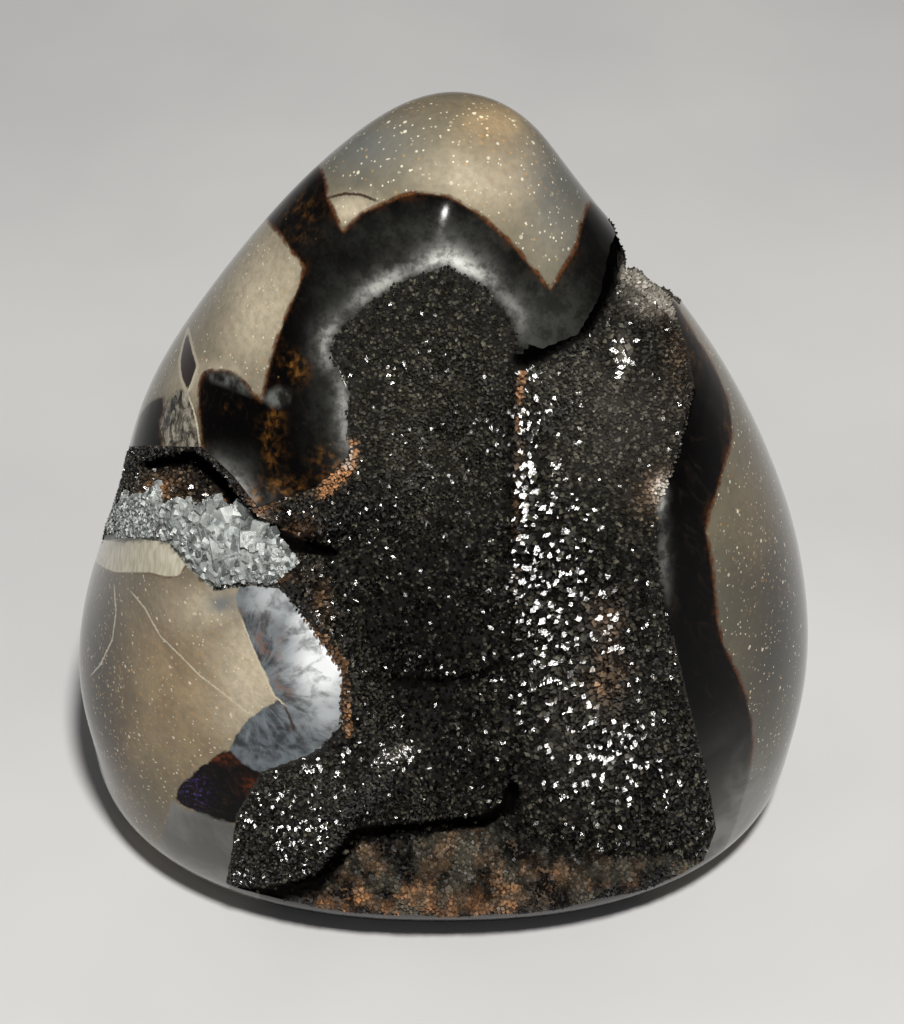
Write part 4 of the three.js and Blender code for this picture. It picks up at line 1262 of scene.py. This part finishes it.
def values_of_druse(hollow, u, v):
    """How rusty and pale the druse is at each place, the pale in places a painted highlight, how much
    painted shade darkens it, and its share of the floor.
    """
    patchy = lumps(u, v, 2.3, 41)
    on_floor = hollow.sample(hollow.on_floor, u, v)
    blotches = smoothstep(0.5, 0.66, layered(u, v, FLOOR_BLOTCHES))
    rusty = np.maximum(spread(RUSTY, u, v), along_lines(RUSTY_LINES, u, v)) * (0.4 + patchy)
    front = smoothstep(-8, -13, v)
    rust = np.clip(rusty + on_floor * (0.28 + 0.42 * front) * blotches, 0, 1)
    pale = np.maximum(spread(PALE_AND_HIGHLIGHT_SPOTS, u, v), along_lines(PALE_AND_HIGHLIGHT_EDGES, u, v))
    pale = np.clip(pale * (0.5 + patchy), 0, 1)
    shade = np.maximum(spread(SHADED, u, v), along_lines(FISSURES, u, v))
    return rust * (1 - shade), pale * (1 - shade), shade, on_floor


def make_crystals(hollow, ground, material):
    """The crystals that stand on the crust, in a few meshes."""

    def spacing_at(u, v):
        on_floor = hollow.sample(hollow.on_floor, u, v)
        coarse = np.clip(np.maximum(spread(COARSE, u, v), 0.3 * on_floor), 0, 1)
        return FINEST + (COARSEST - FINEST) * coarse * (0.3 + 0.7 * lumps(u, v, 1.5, 51))

    places, normals, spacing = places_on(triangles_of(ground.data, 0), spacing_at, TRIES)
    u, v, _ = from_body(places)
    _, off = outward(places)
    rust, pale, shade, on_floor = values_of_druse(hollow, u, v)
    count = len(places)
    radius = spacing * RANDOM.uniform(0.6, 1.1, count)
    height = radius * RANDOM.uniform(2.6, 4.4, count) * (1 - 0.2 * on_floor)
    room = np.maximum(-off + 0.2, 0.02)
    shrink = np.minimum(room / (height * (1 - SUNK)), 1)
    radius, height = radius * np.maximum(shrink, 0.4), height * shrink
    axes = unit(normals + RANDOM.normal(0, 0.4, normals.shape))
    turns = RANDOM.uniform(0, 2 * math.pi, count)
    glinting = RANDOM.random(count) < (STRAY_GLINTS + spread(GLINTING, u, v)) * (1 - shade)
    better, turned = turned_to_glint(places, normals, 2 / 3 * height / radius)
    glinting &= ((better * normals).sum(1) > 0.35) & (on_floor < 0.5)
    axes[glinting], turns[glinting] = better[glinting], turned[glinting]
    # Painted shade on the floor: crystals darker in the hollows between the lumps, lighter on their tops.
    knob_light = smoothstep(0.25, 0.9, layered(u, v, FLOOR_KNOB_SHADING))
    tone = RANDOM.beta(0.4, 2.8, count) + 0.65 * rust**2 + spread(GREYER, u, v)
    floor_tone = 0.4 + 0.3 * rust + 0.8 * RANDOM.beta(0.8, 2, count)
    tone = tone * (1 - shade) * (1 - on_floor) + floor_tone * knob_light * on_floor
    rough = RANDOM.uniform(0.08, 0.26, count) + 0.3 * on_floor + 0.2 * rust
    rough[glinting] = GLINT_ROUGHNESS
    kept = np.flatnonzero((room > LEAST_ROOM) & (RANDOM.random(count) > 0.9 * shade))
    pieces = []
    for letter, part in zip("abcd", np.array_split(kept[np.argsort(u[kept])], 4)):
        shape = (values[part] for values in (places, axes, turns, radius, height))
        piece = make_object("druse_" + letter, *crystal_mesh(*shape, SUNK))
        give_slots(piece, material)
        fields = {"rust": rust, "pale": pale, "rough": rough, "lit": 1 - shade}
        store(piece.data, **{name: np.repeat(values[part], 8) for name, values in fields.items()})
        store(piece.data, tone=(tone[part][:, None] * PAINTED_SHADE_BY_CORNER).ravel())
        pieces.append(piece)
    return pieces


def store_ground(hollow, ground):
    set_all(ground.data.polygons, "use_smooth", True)
    u, v, _ = from_body(corners(ground.data))
    rust, pale, shade, on_floor = values_of_druse(hollow, u, v)
    # Painted shade: the ground between the crystals is kept near black, lighter on the floor in random
    # patches.
    tone = (0.02 + 0.3 * on_floor * lumps(u, v, 1.1, 61)) * (1 - shade)
    rough = np.full(len(u), 0.7)
    store(ground.data, rust=rust, pale=0.5 * pale, tone=tone, rough=rough, lit=0.6 * (1 - shade))


def spacing_on_calcite(u, v):
    return 0.34 + 0.7 * lumps(u, v, 2.8, 71) ** 2 + 1.3 * spread([BLADE], u, v)


def make_calcite(ground, material):
    """The blocks of the frame's calcite, and smaller crystals grown on them."""
    blocks = add_to_scene("calcite_blocks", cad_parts["pale_calcite"].data.copy())
    blocks.data.materials.clear()
    give_slots(blocks, material)
    count = len(blocks.data.polygons)
    set_all(blocks.data.polygons, "material_index", 0)
    set_all(blocks.data.polygons, "use_smooth", False)
    store(blocks.data, "FACE", tone=RANDOM.uniform(0.1, 0.55, count), mosaic=np.ones(count))
    bed = triangles_of(ground.data, 0)
    u, v, _ = from_body(bed.mean(1))
    bed = np.vstack([triangles_of(blocks.data, 0), bed[spread([CALCITE_END], u, v) > 0.37]])
    places, normals, spacing = places_on(bed, spacing_on_calcite, TRIES_ON_CALCITE)
    u, v, _ = from_body(places)
    _, off = outward(places)
    count = len(places)
    radius = np.minimum(spacing, 1) * RANDOM.uniform(0.7, 1.5, count)
    height = radius * RANDOM.uniform(1.6, 2.6, count)
    shrink = np.clip((-off + 0.5) / (height * (1 - SUNK_IN_CALCITE)), 0.5, 1)
    axes = unit(normals + RANDOM.normal(0, 0.5, normals.shape))
    turns = RANDOM.uniform(0, 2 * math.pi, count)
    glinting = RANDOM.random(count) < CALCITE_GLINTS
    better, turned = turned_to_glint(places, normals, 2 / 3 * height / radius)
    axes[glinting], turns[glinting] = better[glinting], turned[glinting]
    blade = np.argmin(np.hypot(u - BLADE[0], v - BLADE[1]))
    places[blade] -= 0.5 * normals[blade]
    shrink[spread([BLADE], u, v) > 0.72] = 0.3
    radius[blade], height[blade], shrink[blade] = BLADE_RADIUS, BLADE_HEIGHT, 1
    axes[blade], turns[blade] = unit(turn_out(0.22, 1, -0.25)), BLADE_TURN
    shape = crystal_mesh(places, axes, turns, radius * shrink, height * shrink, SUNK_IN_CALCITE)
    small = make_object("calcite_crystals", *shape)
    give_slots(small, material)
    store(small.data, tone=(RANDOM.beta(1, 1.2, count)[:, None] * PAINTED_SHADE_BY_CORNER).ravel())
    return [blocks, small]


hollow = Hollow()
nodule = make_nodule(hollow, polished_stone(), broken_stone())
druse = druse_look()
ground = make_crust(hollow, druse)
store_ground(hollow, ground)
crystals = make_crystals(hollow, ground, druse)
calcites = make_calcite(ground, calcite_look())

for piece, node, slot in (
    [(nodule, "nodule", "stone")]
    + [(piece, "druzy_crust", "druse") for piece in [ground, *crystals]]
    + [(piece, "pale_calcite", "calcite") for piece in calcites]
):
    keep_in_box(piece.data)
    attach(piece, "root")
    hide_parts(node)

# ---------- floor, light and camera ----------

HALF_TABLE = 1500
table_corners = HALF_TABLE * np.array([(-1, -1, 0), (1, -1, 0), (1, 1, 0), (-1, 1, 0)])
table = make_object("table", table_corners, [(0, 1, 2, 3)])
give_slots(table, floor_look())

world = bpy.data.worlds.new("studio")
world.use_nodes = True
world.node_tree.nodes["Background"].inputs["Color"].default_value = (0.95, 0.97, 1, 1)
world.node_tree.nodes["Background"].inputs["Strength"].default_value = 0.14
bpy.context.scene.world = world


def add_light(name, place, aim, width, power, colour):
    light = bpy.data.lights.new(name, "AREA")
    light.shape = "DISK"
    light.size = width * MM
    light.energy = power
    light.color = colour
    made = add_to_scene(name, light)
    made.location = Vector(place) * MM
    made.rotation_euler = (Vector(aim) - Vector(place)).to_track_quat("-Z", "Y").to_euler()
    return made


overhead = add_light("overhead_light", (60, -260, 600), (0, 0, 30), 70, 5, (1, 0.99, 0.97))
overhead.visible_glossy = False
glints = add_light("glint_light", NEAR_LIGHT, (0, 0, 45), 30, 0.7, (1, 0.98, 0.95))
glints.visible_diffuse = False
bpy.context.scene.view_settings.view_transform = "Standard"

SENSOR = 36
LENS_PER_HEIGHT = 2690 / 1024  # focal length in picture heights
camera_data = bpy.data.cameras.new("camera")
camera_data.sensor_width = SENSOR
camera_data.lens = SENSOR * LENS_PER_HEIGHT
camera_data.clip_start = 0.01
camera = add_to_scene("camera", camera_data)
camera.location = Vector(EYE) * MM
camera.rotation_euler = (math.pi / 2 - VIEW_ELEVATION, 0, 0)
bpy.context.scene.camera = camera
